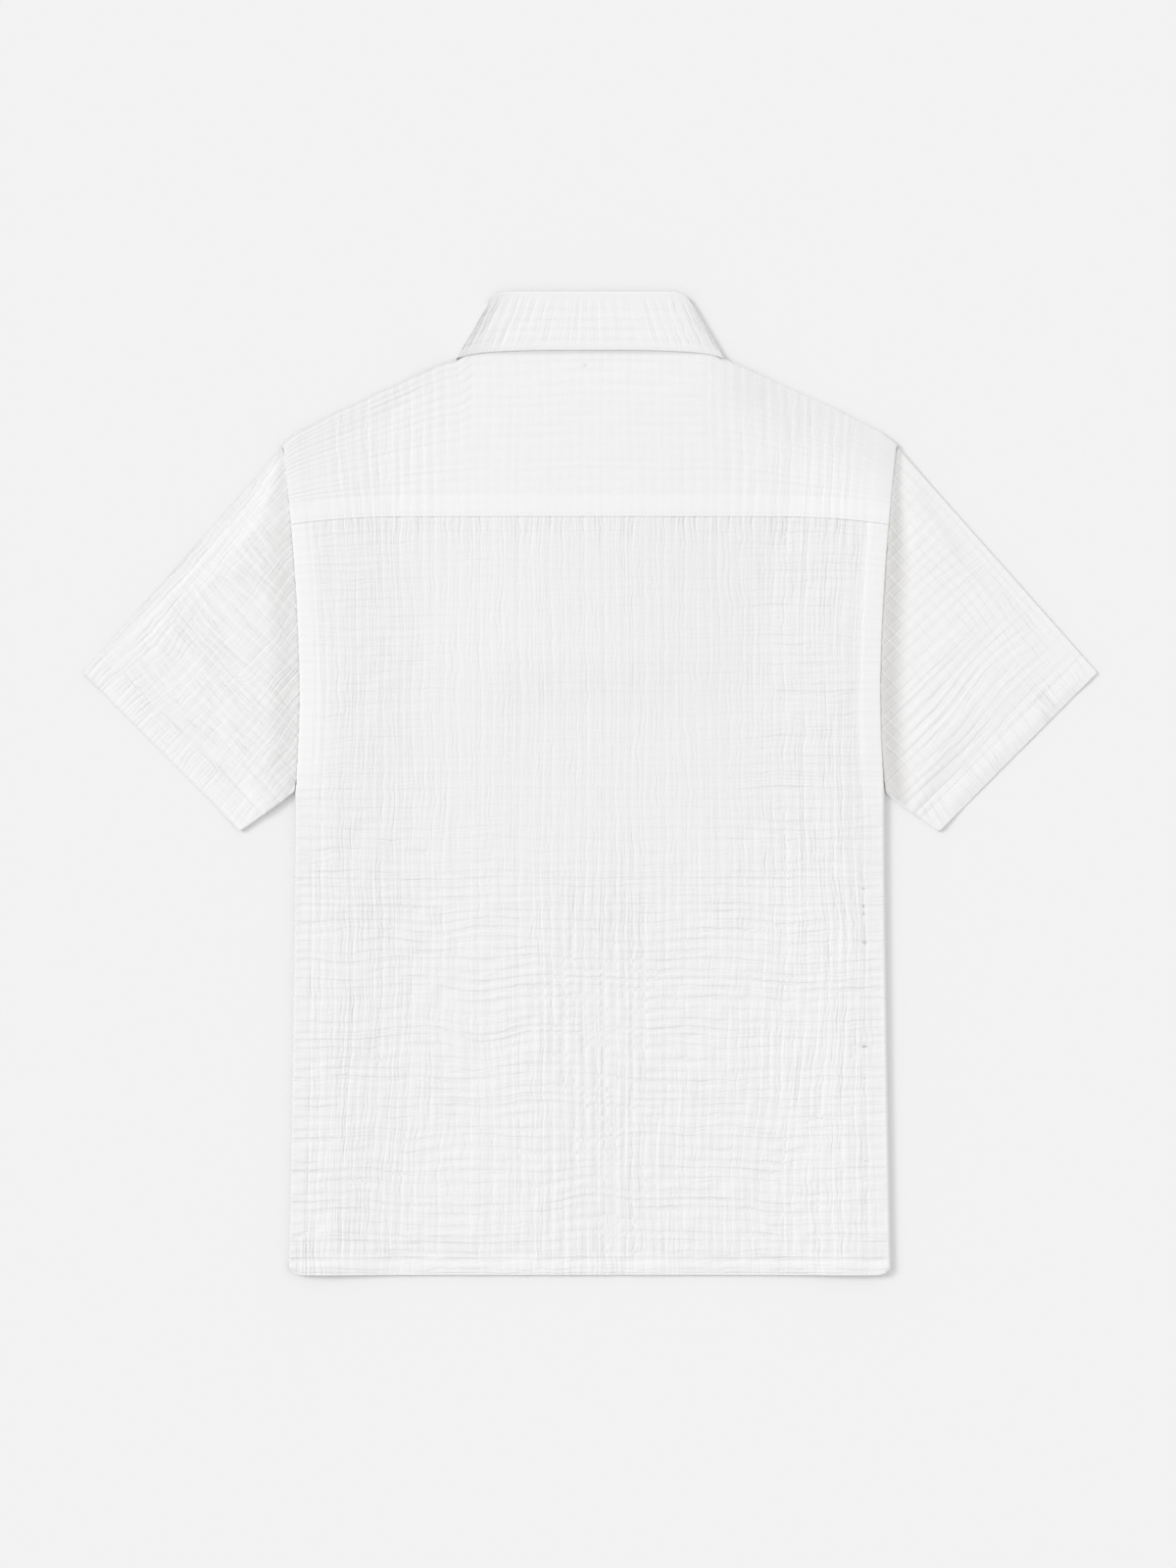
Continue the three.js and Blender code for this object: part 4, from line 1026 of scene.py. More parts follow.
def make_yoke():
    band = YOKE_BAND + HEM_STEP
    rows = edge_lines(SEAM_SLIT, 1, SEAM_RADIUS) + plain_lines(1.4, band, 1.4)
    creased = crease_lines([band + 2.0, YOKE_REACH], 8.8, 41)
    over = rows + creased
    fold_row = len(over) - 1
    under = crease_lines([3.0, UNDER_REACH - 2.0], 8.0, 42, UPPER_CELL)

    x0 = body.x0
    seam = yoke_seam_y(x0) + 0 * over.place[:, None]
    top_x = column_x(x0, ARMHOLE_TOP[1])
    top_y = np.where(np.abs(x0) < NECK_SIDE_X, back_neck_y(top_x), shoulder_y(top_x))
    place = over.place[:, None]
    share = np.clip((place - band) / (YOKE_REACH - band), 0.0, 1.0)
    y = np.where(place < band, seam + place, mix(seam + band, top_y, share))
    steady = rise(place, band, band + 20.0) * fall(place, YOKE_REACH - 25.0, YOKE_REACH)
    y = y + steady * sway(place, x0, 8, 2.4)
    x, top, drop, _ = back_surface(y, place + YOKE_SEAM_Y)
    height = top + BAND["height"] * fall(place, YOKE_BAND, band) * fall(np.abs(x), 218.0, 226.0)
    facing = np.broadcast_to(np.array([0.0, 0.0, 1.0]), (*x.shape, 3))
    upper = np.stack([x, y, height], axis=-1)

    fold_x, fold_y = x[-1], y[-1]
    top_middle = top[-1] - CLOTH / 2
    under_middle = front_low(fold_x, fold_y) + CLOTH / 2
    radius = (top_middle - under_middle + CLOTH) / 2
    out = np.stack(shoulder_normal(np.where(fold_x == 0, 1.0, fold_x)), axis=-1)
    turn = FOLD_TURNS[:, None]
    outward, upward = out * np.sin(turn)[..., None], np.cos(turn)[..., None] + 0 * out[:, :1]
    fold_facing = np.concatenate([outward, upward], axis=-1)
    centre = np.stack([fold_x, fold_y, (top_middle + under_middle) / 2], axis=-1)
    folded = centre + fold_facing * radius[:, None]

    share = np.append(under.place, UNDER_REACH)[:, None] / UNDER_REACH
    under_y = mix(top_y, front_seam_y(top_x), share)
    under_x = np.where(body.is_edge, np.sign(x0) * side_at(under_y), column_x(x0, under_y))
    below = np.stack([under_x, under_y, front_low(under_x, under_y)], axis=-1)
    below_facing = np.broadcast_to(np.array([0.0, 0.0, -1.0]), below.shape)

    middle = np.concatenate([upper, folded, below])
    facing = np.concatenate([facing, fold_facing, below_facing])
    none = np.full(len(FOLD_TURNS), over.number[-1])
    number = np.concatenate([over.number, none, under.number + over.number[-1], [over.number[-1]]])
    x, y = middle[..., 0], middle[..., 1]
    pulls = yoke_pull(x, y)
    held = np.ones(x.shape)
    held[: len(over)] = mix(1.0, CALM, fall(place, YOKE_BAND - 2.0, band + 2.0))
    fold_rows = slice(len(over), len(over) + len(FOLD_TURNS))
    held[fold_rows] = 0.6
    upright = pulls[0] * held * rise(CHEST_X - np.abs(x0), 8.0, 13.0)
    numbers = (body.number, number[:, None])
    crinkle = Crinkle(numbers, (x, y), (upright, pulls[1] * held), 45, (50.0, 40.0))
    in_band = np.zeros(x.shape)
    in_band[: len(over)] = fall(place, YOKE_BAND - 5.0, band + 4.0)
    from_fold = shoulder_y(np.maximum(np.abs(x), NECK_SIDE_X)) - y
    # Painted shade below the shoulder folds.
    at_shoulder = by_side(x, SHOULDER_PAINTED_SHADE) * fall(from_fold, 6.0, 60.0) * rise(np.abs(x), 85.0, 125.0)
    crinkle.sheer = SHEER["yoke"] * (1 - 0.8 * in_band) + at_shoulder
    crinkle.fine = mix(0.5, 0.7, rise(np.abs(x), 208.0, 222.0))
    # Painted shade on the shoulder folds.
    crinkle.sheer[fold_rows] += np.sin(turn) * by_side(x[fold_rows], FOLD_PAINTED_SHADE)
    from_tack = (x - TACK[0]) ** 2 + (y - TACK[1]) ** 2
    tack = np.exp(-from_tack / TACK_WIDTH**2) * (middle[..., 2] > LAYER)
    # Painted shade on the yoke along the collar's edge, and in the dent of the tack.
    by_collar = rise(y, *COLLAR_EDGE["y"]) * fall(np.abs(x), *COLLAR_EDGE["x"])
    crinkle.hollow = COLLAR_SHADE * by_collar + tack
    relief = crinkle.relief - TACK_DEPTH * tack
    relief[: len(over)] += soft_folds(x, y, YOKE_FOLDS)[: len(over)]
    relief[: len(over)] += stitch_groove(place - YOKE_STITCH) - over.drop[:, None]
    relief -= drop[-1]
    outer = middle + facing * relief[..., None]
    inner = middle - facing * (CLOTH + BAND["height"] * (drop[-1] > 0))[..., None]
    keep_rows = [*every(over, 5), *range(fold_row + 3, len(middle) - 1, 4), len(middle) - 1]
    keep = (keep_rows, body.keep(12))
    has = all_but_middle(keep, x0, fold_row, NECK_SIDE_X)
    piece = wall("yoke_cloth", outer, inner, keep, crinkle.marks(), has=has)
    return piece, outer, inner, over


yoke, yoke_points, yoke_inside, yoke_rows = make_yoke()
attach(yoke, "root")
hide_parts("yoke")

# %% [markdown]
# The front
#
# The front lies face down and flat on the floor, so its relief can only go inward: the crests of its
# pillows touch the floor and its creases are shallow. It is cut open down the middle above the placket's
# foot, and its neckline curves from the slit up to the shoulder seam.

# %% Front
PLACKET = {"half": 15.0, "bottom": 128.0, "top": 278.5, "tuck": 7.0}
FRONT_GAP = 9.2
UNDER_CALM = 0.35                             # a face that lies on the floor is pressed flatter
SLIT_X = PLACKET["half"] + SEAM_GAP
SLIT_Y = PLACKET["bottom"] - SEAM_GAP


def front_top_y(x):
    neck = np.interp(np.abs(x), FRONT_NECK_X, FRONT_NECK_Y)
    return np.where(np.abs(x) <= NECK_SIDE_X, neck, front_seam_y(x) - SEAM_GAP)


def make_front():
    stops = [-CREASED_X, -NECK_SIDE_X, -SLIT_X, SLIT_X, NECK_SIDE_X, CREASED_X]
    columns = Columns(stops, FRONT_GAP, 51, FRONT_CELL)
    hem_top = HEM_Y + BODY_HEM + HEM_STEP
    lower = (
        edge_lines(HEM_Y, 1, HEM_RADIUS)
        + plain_lines(HEM_Y + 2.6, HEM_Y + HEM_STITCH, 2.7)
        + plain_lines(HEM_Y + HEM_STITCH + 1.0, hem_top, 1.5)
        + crease_lines([hem_top + 3.0, SLIT_Y], 10.4, 52, FRONT_CELL)
    )
    slit_row = len(lower) - 1
    reach = PLACKET["top"] - SLIT_Y
    upper = crease_lines([10.0, reach - 2.0], 10.0, 53, FRONT_CELL)
    upper = plain_lines(4.0, 6.0, 2.0) + upper + plain_lines(reach - 1.0, reach, 1.0)

    x0 = columns.x0
    y0 = lower.place[:, None]
    y_low = y0 + (hem_round(x0) + HEM_SETBACK) * fall(y0, HEM_Y, HEM_Y + 10.0)
    top_x = column_x(x0, ARMHOLE_TOP[1])
    y_high = mix(SLIT_Y, front_top_y(top_x), upper.place[:, None] / reach)
    y = np.concatenate([y_low, y_high])
    rolled = beside_roll(y)
    radius = mix(CLOTH / 2, ROLL_RADIUS, rolled)
    side = np.sign(x0)
    away = radius * (1 - np.sin(columns.turn)) * np.where(side < 0, FOLD_SQUEEZE, 1.0)
    x = np.where(columns.is_edge, side * (side_at(y) - away), column_x(x0, y))
    height = front_low(x, y) + radius * (1 - np.cos(columns.turn))
    height = np.where(rolled > 0.5, np.minimum(height, ROLL_RADIUS - SEAM_GAP / 2), height)
    flat = np.zeros(y.shape)
    facing = np.stack([side * np.sin(columns.turn) + flat, flat, -np.cos(columns.turn) + flat], axis=-1)

    drop = np.concatenate([lower.drop, upper.drop])[:, None]
    number = np.concatenate([lower.number, upper.number + lower.number[-1]])[:, None]
    in_hem = np.concatenate([fall(y0, HEM_Y + BODY_HEM, hem_top), np.zeros((len(upper), 1))])
    pulls = back_pull(x, y)
    held = UNDER_CALM * mix(1.0, CALM, in_hem)
    crinkle = Crinkle((columns.number, number), (x, y), (pulls[0] * held, pulls[1] * held), 54)
    # Painted shade on the front's folds.
    crinkle.sheer = SHEER["back"] + by_side(x, FOLD_PAINTED_SHADE) * np.sin(columns.turn)
    stitched = np.concatenate([stitch_groove(y0 - HEM_Y - HEM_STITCH), np.zeros((len(upper), 1))])
    pressed = np.minimum(crinkle.relief, 0.0) + stitched
    relief = np.where(columns.is_edge, 0.0, pressed) - TUCKED * drop
    middle = np.stack([x, y, height], axis=-1)
    thickness = CLOTH + HEM_EXTRA * in_hem + 0 * x
    outer = middle + facing * relief[..., None]
    inner = middle - facing * thickness[..., None]

    slit_columns = [int(np.argmin(np.abs(x0 - place))) for place in (-SLIT_X, SLIT_X)]
    keep = (every(y, 6, (slit_row,)), columns.keep(8, slit_columns))
    has = all_but_middle(keep, x0, slit_row, SLIT_X)
    piece = wall("front_cloth", outer, inner, keep, crinkle.marks(), has=has)
    return piece, outer, inner, lower


front, front_points, front_inside, front_rows = make_front()
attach(front, "root")
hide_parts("front")

# %% [markdown]
# Sleeves
#
# Each sleeve is one piece of cloth sewn into a tube and pressed flat by its own weight, with a soft fold
# along the top and one along the underarm seam. Its rows run from the hem to the armhole, and its columns
# once round the tube. Towards the armhole the upper layer dips under the edge of the body, which leaves
# the hollow that the photograph shows there, and painted shade darkens it. In the hems the creases run
# across the band.

# %% Sleeves
SLEEVE_HEM = {"outer": np.array([407.3, 88.9]), "inner": np.array([279.8, -39.7])}
SLEEVE_TOP_NORMAL = np.array([0.7506, 0.6608])
SLEEVE_UNDER_NORMAL = np.array([-0.594, -0.805])
SLEEVE_ROLL = {"hem": 0.5, "top": 0.6, "under": 1.8, "armhole": 1.2}   # radius to the middle of the cloth
SLEEVE_BAND = 20.0
SLEEVE_STITCH = 18.6
SLEEVE_REACH = 152.0                          # from hem to armhole, by which rows are named
SLEEVE_ROUND = 226.0                          # from fold to fold, by which columns are named
SLEEVE_LEVEL = {"shoulder": 5.6, "middle": 4.2, "hem": 2.6, "edge": 1.1}   # above the floor
SLEEVE_HEM_EXTRA = 0.4
SLEEVE_HEM_RADIUS = 0.5
SLEEVE_SETBACK = 1.8                          # the lower hem ends a little sooner
SLEEVE_TAPER = 0.063                          # the top edge leans by this much to the hem
SLEEVE_CELL = 1.3
SLEEVE_ROOM = 2.4                             # height above the edge that full creases need
SLEEVE_HEM_PULL = {"both": 1.1, "lengthwise": 2.1, "round": 0.42}
SLEEVES = {                                   # each pull is for creases lengthwise and round
    "left": {
        "side": -1, "seed": 61, "fine": 0.9, "edge_sheer": 0.25,
        "dip": (3.3, 3.0, 27.0),              # its height, and where it ends, beside the body
        "hollow": (9.0, 25.0), "shade": 0.31,
        "open_pull": (0.42, 1.55), "hollow_pull": (0.5, 0.7),
    },
    "right": {
        "side": 1, "seed": 81, "fine": 0.6, "edge_sheer": 0.0,
        "dip": (4.6, 9.0, 24.0),
        "hollow": (8.0, 24.0), "shade": 0.97,
        "open_pull": (0.5, 1.0), "hollow_pull": (0.55, 0.34),
    },
}
ARM_TOP_Y = 268.7
ARM_UNDER_Y = -6.0
ARM_TUCK = 2.0


def armhole_point(across, tucked=0.0):
    """Where the sleeve meets the body, from the shoulder at 0 to the underarm at 1.

    The upper layer is tucked a little under the edge of the back.
    """
    y = mix(ARM_TOP_Y, ARM_UNDER_Y, across)
    clear_of_yoke = np.where(tucked > 0, 0.2, 1.0) * rise(y, 262.0, ARM_TOP_Y)
    clear_of_side = np.where(tucked > 0, 0.1, 1.4) * fall(y, ARM_UNDER_Y, ARM_UNDER_Y + UNDERARM_TURN)
    under_edge = tucked * rise(across, 0.0, 0.025) * fall(across, 0.94, 0.985)
    return np.stack([side_at(y) + 0.4 + clear_of_yoke + clear_of_side - under_edge, y], axis=-1)


def sleeve_creases(plan, seed):
    """Places on the sleeve's cloth, and its crease numbers there.

    The first place is along the hem from its outer corner, and the second is up from the hem.
    """
    along_hem = SLEEVE_HEM["inner"] - SLEEVE_HEM["outer"]
    along_hem = along_hem / np.hypot(*along_hem)
    up_sleeve = np.array([along_hem[1], -along_hem[0]])
    from_corner = plan - SLEEVE_HEM["outer"]
    up = from_corner @ up_sleeve
    across = from_corner @ along_hem + SLEEVE_TAPER * up
    number = []
    for place, other, gap, count in ((across, up, 8.6, 34), (up, across, 8.0, 34)):
        sizes = np.random.default_rng(seed + len(number))
        steps = uneven_steps(-20.0, gap * count - 20.0, gap, sizes)
        wander = 4.5 * uneven(place / 34.0, other / 60.0, seed + 3 + len(number))
        number.append(np.interp(place + wander, steps, np.arange(len(steps))))
    return (across, up), number


def make_sleeve(which, folds):
    own = SLEEVES[which]
    side, seed = own["side"], own["seed"]
    over = plain_lines(0.0, SLEEVE_ROUND, SLEEVE_CELL)
    turns = np.radians([30, 60, 90, 120, 150])
    under = plain_lines(SLEEVE_ROUND, 0.0, 6.0)
    under_fold, top_fold = np.full(len(turns), SLEEVE_ROUND), np.zeros(len(turns))
    across = np.concatenate([over.place, under_fold, under.place, top_fold]) / SLEEVE_ROUND
    turn = np.concatenate([np.zeros(len(over)), turns, np.full(len(under), np.pi), turns[::-1]])
    is_over = turn == 0

    band = SLEEVE_BAND + HEM_STEP
    rows = (
        edge_lines(0.0, 1, SLEEVE_HEM_RADIUS)
        + plain_lines(2.4, SLEEVE_STITCH, 1.62)
        + plain_lines(SLEEVE_STITCH + 1.0, band, 1.45)
        + plain_lines(band + 1.2, SLEEVE_REACH - 1.5, SLEEVE_CELL)
    )
    rows = rows + edge_lines(SLEEVE_REACH, -1, SEAM_RADIUS)
    place = rows.place[:, None]

    squeeze = np.array([FOLD_SQUEEZE, 1.0])       # of the top fold and the underarm
    inset = (np.array([SLEEVE_ROLL["top"], SLEEVE_ROLL["under"]]) + CLOTH / 2) * squeeze
    hem_top = SLEEVE_HEM["outer"] - inset[0] * SLEEVE_TOP_NORMAL
    hem_under = SLEEVE_HEM["inner"] - inset[1] * SLEEVE_UNDER_NORMAL
    hem = mix(hem_top, hem_under, across[:, None])
    arm = armhole_point(across, ARM_TUCK * is_over)
    length = np.linalg.norm(arm - hem, axis=-1)
    beyond = np.clip((place - band) / (SLEEVE_REACH - band), 0.0, 1.0)
    share = np.where(place < band, place / length, mix(band / length, 1.0, beyond))
    share = share + SLEEVE_SETBACK * (turn > 0) * fall(place, 0.0, 10.0) / length
    plan = hem + (arm - hem) * share[..., None]

    rolled = mix(SLEEVE_ROLL["top"], SLEEVE_ROLL["under"], rise(across, 0.2, 0.8))
    radius = mix(mix(SLEEVE_ROLL["hem"], rolled, 0.4 * across), rolled, rise(place, 0.0, 45.0))
    radius = mix(radius, SLEEVE_ROLL["armhole"], rise(share, 0.8, 1.0))
    from_body = plan[..., 0] - side_at(plan[..., 1])
    rounded = rise(np.minimum(across, 1 - across), 0.0, 0.16) * is_over
    dip_level, dip_start, dip_end = own["dip"]
    full = mix(dip_level, SLEEVE_LEVEL["shoulder"], rise(from_body, dip_start, dip_end))
    full = mix(full, SLEEVE_LEVEL["middle"], rise(from_body, dip_end + 5.0, dip_end + 70.0))
    at_hem = mix(SLEEVE_LEVEL["edge"], SLEEVE_LEVEL["hem"], rise(place, 0.0, 9.0))
    full = mix(full, at_hem, fall(place, 20.0, 60.0))
    lift = (full - 2 * radius - CLOTH) * rounded
    normal = np.where((across < 0.5)[:, None], SLEEVE_TOP_NORMAL, SLEEVE_UNDER_NORMAL)
    facing = np.concatenate([normal * np.sin(turn)[:, None], np.cos(turn)[:, None]], axis=-1)
    facing = np.broadcast_to(facing, (*share.shape, 3))
    middle = np.concatenate([plan, (CLOTH / 2 + radius + lift)[..., None]], axis=-1)
    own_squeeze = np.where(across < 0.5, *squeeze)
    narrowed = np.stack([own_squeeze, own_squeeze, np.ones(len(across))], axis=-1)
    middle = middle + facing * narrowed * (radius + CLOTH / 2)[..., None]

    (along_hem, up), numbers = sleeve_creases(middle[..., :2], seed)
    in_hem = fall(place, SLEEVE_BAND, band)
    patches = 0.8 + 0.4 * uneven(along_hem / 60.0, up / 60.0, seed + 4)
    near_top = fall(along_hem, 20.0, 90.0)
    at_top = fall(along_hem, 15.0, 42.0)
    wide = mix(0.3, 1.0, rise(ARM_TOP_Y - plan[..., 1], 4.0, 110.0))
    hollow = fall(from_body, wide * own["hollow"][0], wide * own["hollow"][1])
    hollow = hollow * mix(0.75, 1.0, rise(from_body, 0.0, 5.0)) * is_over
    open_pull, hollow_pull = own["open_pull"], own["hollow_pull"]
    lengthwise = mix((open_pull[0] + 0.15 * near_top + 0.3 * at_top) * patches, hollow_pull[0], hollow)
    round_it = mix(open_pull[1] * (1.6 - patches) * (1 - 0.45 * at_top), hollow_pull[1], hollow)
    held = mix(1.0, SLEEVE_HEM_PULL["both"], in_hem) * mix(UNDER_CALM, 1.0, is_over)
    lengthwise = lengthwise * held * mix(1.0, SLEEVE_HEM_PULL["lengthwise"], in_hem)
    round_it = round_it * held * mix(1.0, SLEEVE_HEM_PULL["round"], in_hem)
    crinkle = Crinkle(numbers, (along_hem, up), (lengthwise, round_it), seed + 5, (55.0, 45.0))
    own_sheer = SHEER[which] * (1 - 0.5 * in_hem)
    # Painted shade on the sleeve's folds and along the very edge of its hem.
    at_edge = own["edge_sheer"] * fall(place, 0.0, 1.5)
    crinkle.sheer = own_sheer + FOLD_PAINTED_SHADE[side] * np.sin(turn) + at_edge
    crinkle.fine = mix(own["fine"], 1.15, hollow)
    # A darker and warmer painted shade in the hollow beside the body.
    crinkle.hollow = hollow * own["shade"]
    x, y = middle[..., 0] * side, middle[..., 1]
    room = np.clip((2 * radius + CLOTH + lift - SLEEVE_LEVEL["edge"]) / SLEEVE_ROOM, 0.2, 1.0)
    relief = is_over * room * (crinkle.relief + soft_folds(x, y, folds))
    drop = rows.drop[:, None] * mix(TUCKED, 1.0, is_over)
    relief = relief + stitch_groove(place - SLEEVE_STITCH) - drop
    outer = middle + facing * relief[..., None]
    extra = SLEEVE_HEM_EXTRA * in_hem * rise(place, 1.0, 6.0)
    thickness = np.minimum(CLOTH + extra, 0.9 * (radius + (CLOTH + lift) / 2))
    inner = middle - facing * thickness[..., None]
    outer[..., 0] *= side
    inner[..., 0] *= side
    turned = [k for k, angle in enumerate(turn) if 0 < angle < np.pi]
    keep_over = {*range(0, len(over), 12), len(over) - 1}
    keep_under = {*turned[::2], *range(len(over) + 6, len(turn), 6)}
    keep = (every(rows, 6), sorted(keep_over | keep_under))
    piece = wall(f"sleeve_{which}_cloth", outer, inner, keep, crinkle.marks(), closed=True)
    return piece, outer, inner, rows


LEFT_FOLDS = [
    {"start": (-248, 262), "end": (-262, 215), "width": 5.0, "height": 0.8},
    {"start": (-262, 240), "end": (-395, 96), "width": 5.0, "height": -0.45},
    {"start": (-330, 190), "end": (-250, 110), "width": 9.0, "height": 0.35},
    {"start": (-352, 140), "end": (-262, 39), "width": 9.0, "height": 0.5},
    {"start": (-338, 150), "end": (-256, 62), "width": 5.0, "height": -0.4},
    {"start": (-252, 258), "end": (-400, 90), "width": 1.6, "height": -0.4},
    {"start": (-255, 246), "end": (-364, 122), "width": 1.9, "height": -0.5},
    {"start": (-258, 228), "end": (-330, 146), "width": 2.4, "height": -0.4},
]
RIGHT_FOLDS = [
    {"start": (250, 258), "end": (300, 170), "width": 6.0, "height": 0.5},
    {"start": (262, 240), "end": (396, 92), "width": 5.0, "height": -0.5},
    {"start": (345, 170), "end": (262, 80), "width": 10.0, "height": 0.35},
    {"start": (372, 118), "end": (290, 20), "width": 9.0, "height": 0.3},
    {"start": (252, 258), "end": (400, 90), "width": 1.6, "height": -0.55},
    {"start": (254, 247), "end": (392, 90), "width": 1.9, "height": -0.55},
    {"start": (262, 228), "end": (350, 128), "width": 2.4, "height": -0.45},
]
sleeves = {}
for side_name, folds in (("left", LEFT_FOLDS), ("right", RIGHT_FOLDS)):
    made = make_sleeve(side_name, folds)
    sleeves[side_name] = made
    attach(made[0], "root")
    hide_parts(f"sleeve_{side_name}")

# %% [markdown]
# The collar's loop
#
# A collar is a loop of cloth laid flat: over the back it faces up, beside the neck it turns over, and on
# the front it faces the floor and opens in two points. A short table gives it at a few stations from the
# centre back to the centre front, and a smooth curve is drawn through them. The stand climbs from the
# neckline to the fold, and the fall hangs back down over it.

# %% Collar stations
CREASE = (95.3, 349.85, 81.1, 385.0, 107.1, 340.8)
STATION_COLUMNS = ("turn", "neck_x", "neck_y", "fold_x", "fold_y", "edge_x", "edge_y")
STATIONS = [
    (0, 0, 352.35, 0, 394.4, 0, 347.5),
    (0, 28, 352.15, 22, 394.4, 31, 347.5),
    (0, 56, 351.5, 46, 394.4, 62, 346.8),
    (0, 78, 350.7, 66, 394.2, 86, 345.3),
    (0, 90, 350.2, 76, 391.6, 100, 343),
    *[(turn, *CREASE) for turn in (0, 45, 90, 135, 180)],
    (180, 95.1, 335, 74, 368, 104, 327),
    (180, 95.1, 321.4, 66, 351, 99, 313),
    (180, 92.7, 311.1, 57.5, 338.5, 93, 299),
    (180, 85.7, 299.8, 49, 328, 86, 284),
    (180, 69.8, 287.9, 39, 318.5, 77, 266),
    (180, 45.9, 280.9, 27, 311, 67, 252),
    (180, 15.3, 278.9, 15.5, 307.5, 56, 241),
]
CREASE_STATIONS = (5, 9)
FALL_LEVEL = {"back": 3 * LAYER + CLOTH / 2, "front": CLOTH / 2}
CREASE_NORMAL = np.array([0.862, 0.507])
LIP = 4.0                                     # the fall ends this far inside the fold


def smooth_through(values, place):
    """A smooth curve through values at 0, 1, 2 and so on, which never swings past them."""
    values = np.asarray(values, float)
    steps = np.diff(values)
    product = steps[:-1] * steps[1:]
    together = np.where(product > 0, steps[:-1] + steps[1:], 1.0)
    slopes = np.concatenate([[steps[0]], np.where(product > 0, 2 * product / together, 0.0), [steps[-1]]])
    k = np.clip(np.floor(place).astype(int), 0, len(values) - 2)
    t = place - k
    start = values[k] * (1 + 2 * t) * (1 - t) ** 2 + values[k + 1] * t**2 * (3 - 2 * t)
    return start + slopes[k] * t * (1 - t) ** 2 - slopes[k + 1] * t**2 * (1 - t)


class Loop:
    """The collar at places along its loop, from the left front through 0 to the right front."""

    def __init__(self, place):
        self.side = np.where(place < 0, -1.0, 1.0)
        at = {}
        for k, name in enumerate(STATION_COLUMNS):
            at[name] = smooth_through([row[k] for row in STATIONS], np.abs(place))
        self.turn = np.radians(at["turn"])
        self.neck = np.stack([self.side * at["neck_x"], at["neck_y"]], axis=-1)
        self.fold = np.stack([self.side * at["fold_x"], at["fold_y"]], axis=-1)
        self.edge = np.stack([self.side * at["edge_x"], at["edge_y"]], axis=-1)


def unit(vectors):
    return vectors / np.linalg.norm(vectors, axis=-1, keepdims=True)


def turned_point(loop, plan, level, spread, normal):
    """A point on the loop whose two halves are spread apart about a middle level."""
    outward = normal * (spread * FOLD_SQUEEZE * np.sin(loop.turn))[..., None]
    outward = outward * np.stack([loop.side, np.ones(loop.side.shape)], axis=-1)
    height = level + spread * np.cos(loop.turn)
    return np.concatenate([plan + outward, height[..., None]], axis=-1)


def fall_point(loop, plan, offset):
    level = (FALL_LEVEL["back"] + FALL_LEVEL["front"]) / 2
    spread = (FALL_LEVEL["back"] - FALL_LEVEL["front"]) / 2 + offset
    return turned_point(loop, plan, level, spread, CREASE_NORMAL)


def stand_point(loop, plan, offset, towards_neck, crossing=0.0):
    x, y = plan[..., 0], plan[..., 1]
    back_level = back_low(x, y, CHEST_X) + CLOTH / 2
    front_level = front_low(x, y) + CLOTH / 2 + LAYER * crossing
    shoulder = np.array(shoulder_normal(NECK_SIDE_X))
    normal = unit(mix(CREASE_NORMAL, shoulder, np.asarray(towards_neck)[..., None]))
    level, spread = (back_level + front_level) / 2, (back_level - front_level) / 2 + offset
    return turned_point(loop, plan, level, spread, normal)


def collar_fold(loop):
    """Where fall and stand turn into each other: the middle of the turn, its arm and the way up."""
    up = unit(loop.fold - loop.edge)
    plan = loop.fold - up * (LAYER + CLOTH) / 2
    none = np.zeros(len(plan))
    on_fall, on_stand = fall_point(loop, plan, none), stand_point(loop, plan, none, none)
    middle = (on_fall + on_stand) / 2
    up = np.concatenate([up, none[:, None]], axis=-1)
    return plan, middle, on_fall - middle, up


def loop_places(gap, seed):
    """Columns along the loop in millimetres, and their places by station."""
    dense = np.linspace(0.0, len(STATIONS) - 1.0, 600)
    loop = Loop(dense)
    line = fall_point(loop, (loop.edge + loop.fold) / 2, np.zeros(len(dense)))
    run = np.concatenate([[0.0], np.cumsum(np.linalg.norm(np.diff(line, axis=0), axis=-1))])
    start, end = (float(np.interp(station, dense, run)) for station in CREASE_STATIONS)
    beside_turn, beside_edge = 1.5, 2.5
    front_part = crease_lines([end + beside_turn, run[-1] - beside_edge], gap, seed)
    back_part = crease_lines([beside_turn - start, start - beside_turn], gap, seed + 1)
    turned = plain_lines(start, end, 0.55)
    left = Lines(-front_part.place[::-1], 0.0, front_part.number[-1] + 1 - front_part.number[::-1])
    columns = edge_lines(-run[-1], 1, SEAM_RADIUS) + left
    columns = columns + Lines(-turned.place[::-1], 0.0, columns.number[-1] + NO_CREASE)
    back_part.number = back_part.number + columns.number[-1] + NO_CREASE
    columns = columns + back_part
    columns = columns + Lines(turned.place, 0.0, columns.number[-1] + NO_CREASE)
    front_part.number = front_part.number + columns.number[-1] + NO_CREASE
    last_number = columns.number[-1] + len(front_part)
    columns = columns + front_part + edge_lines(run[-1], -1, SEAM_RADIUS, last_number)
    places = np.sign(columns.place) * np.interp(np.abs(columns.place), run, dense)
    return columns, places, (start, end)


print("Half the collar has", len(STATIONS), "stations")

# %% [markdown]
# The collar fall
#
# What shows of the collar from above is the fall. The photograph has short upright ribs at its two ends,
# faint level creases in the middle, and a plain smooth strip along its lower edge, where the seam
# allowance is turned in. That edge is pressed on to the yoke, and a darker, warmer painted shade runs
# along it on both.

# %% Collar fall
FALL_REACH = 45.0                             # from the edge to the fold at the centre back
FALL_STITCH = 1.9
EDGE_LIFT = -0.25                             # the edge is pressed on to the yoke
COLLAR_END_PAINTED_SHADE = {-1: 0.36, 1: 0.2}                # painted shade at the fall's two rounded ends
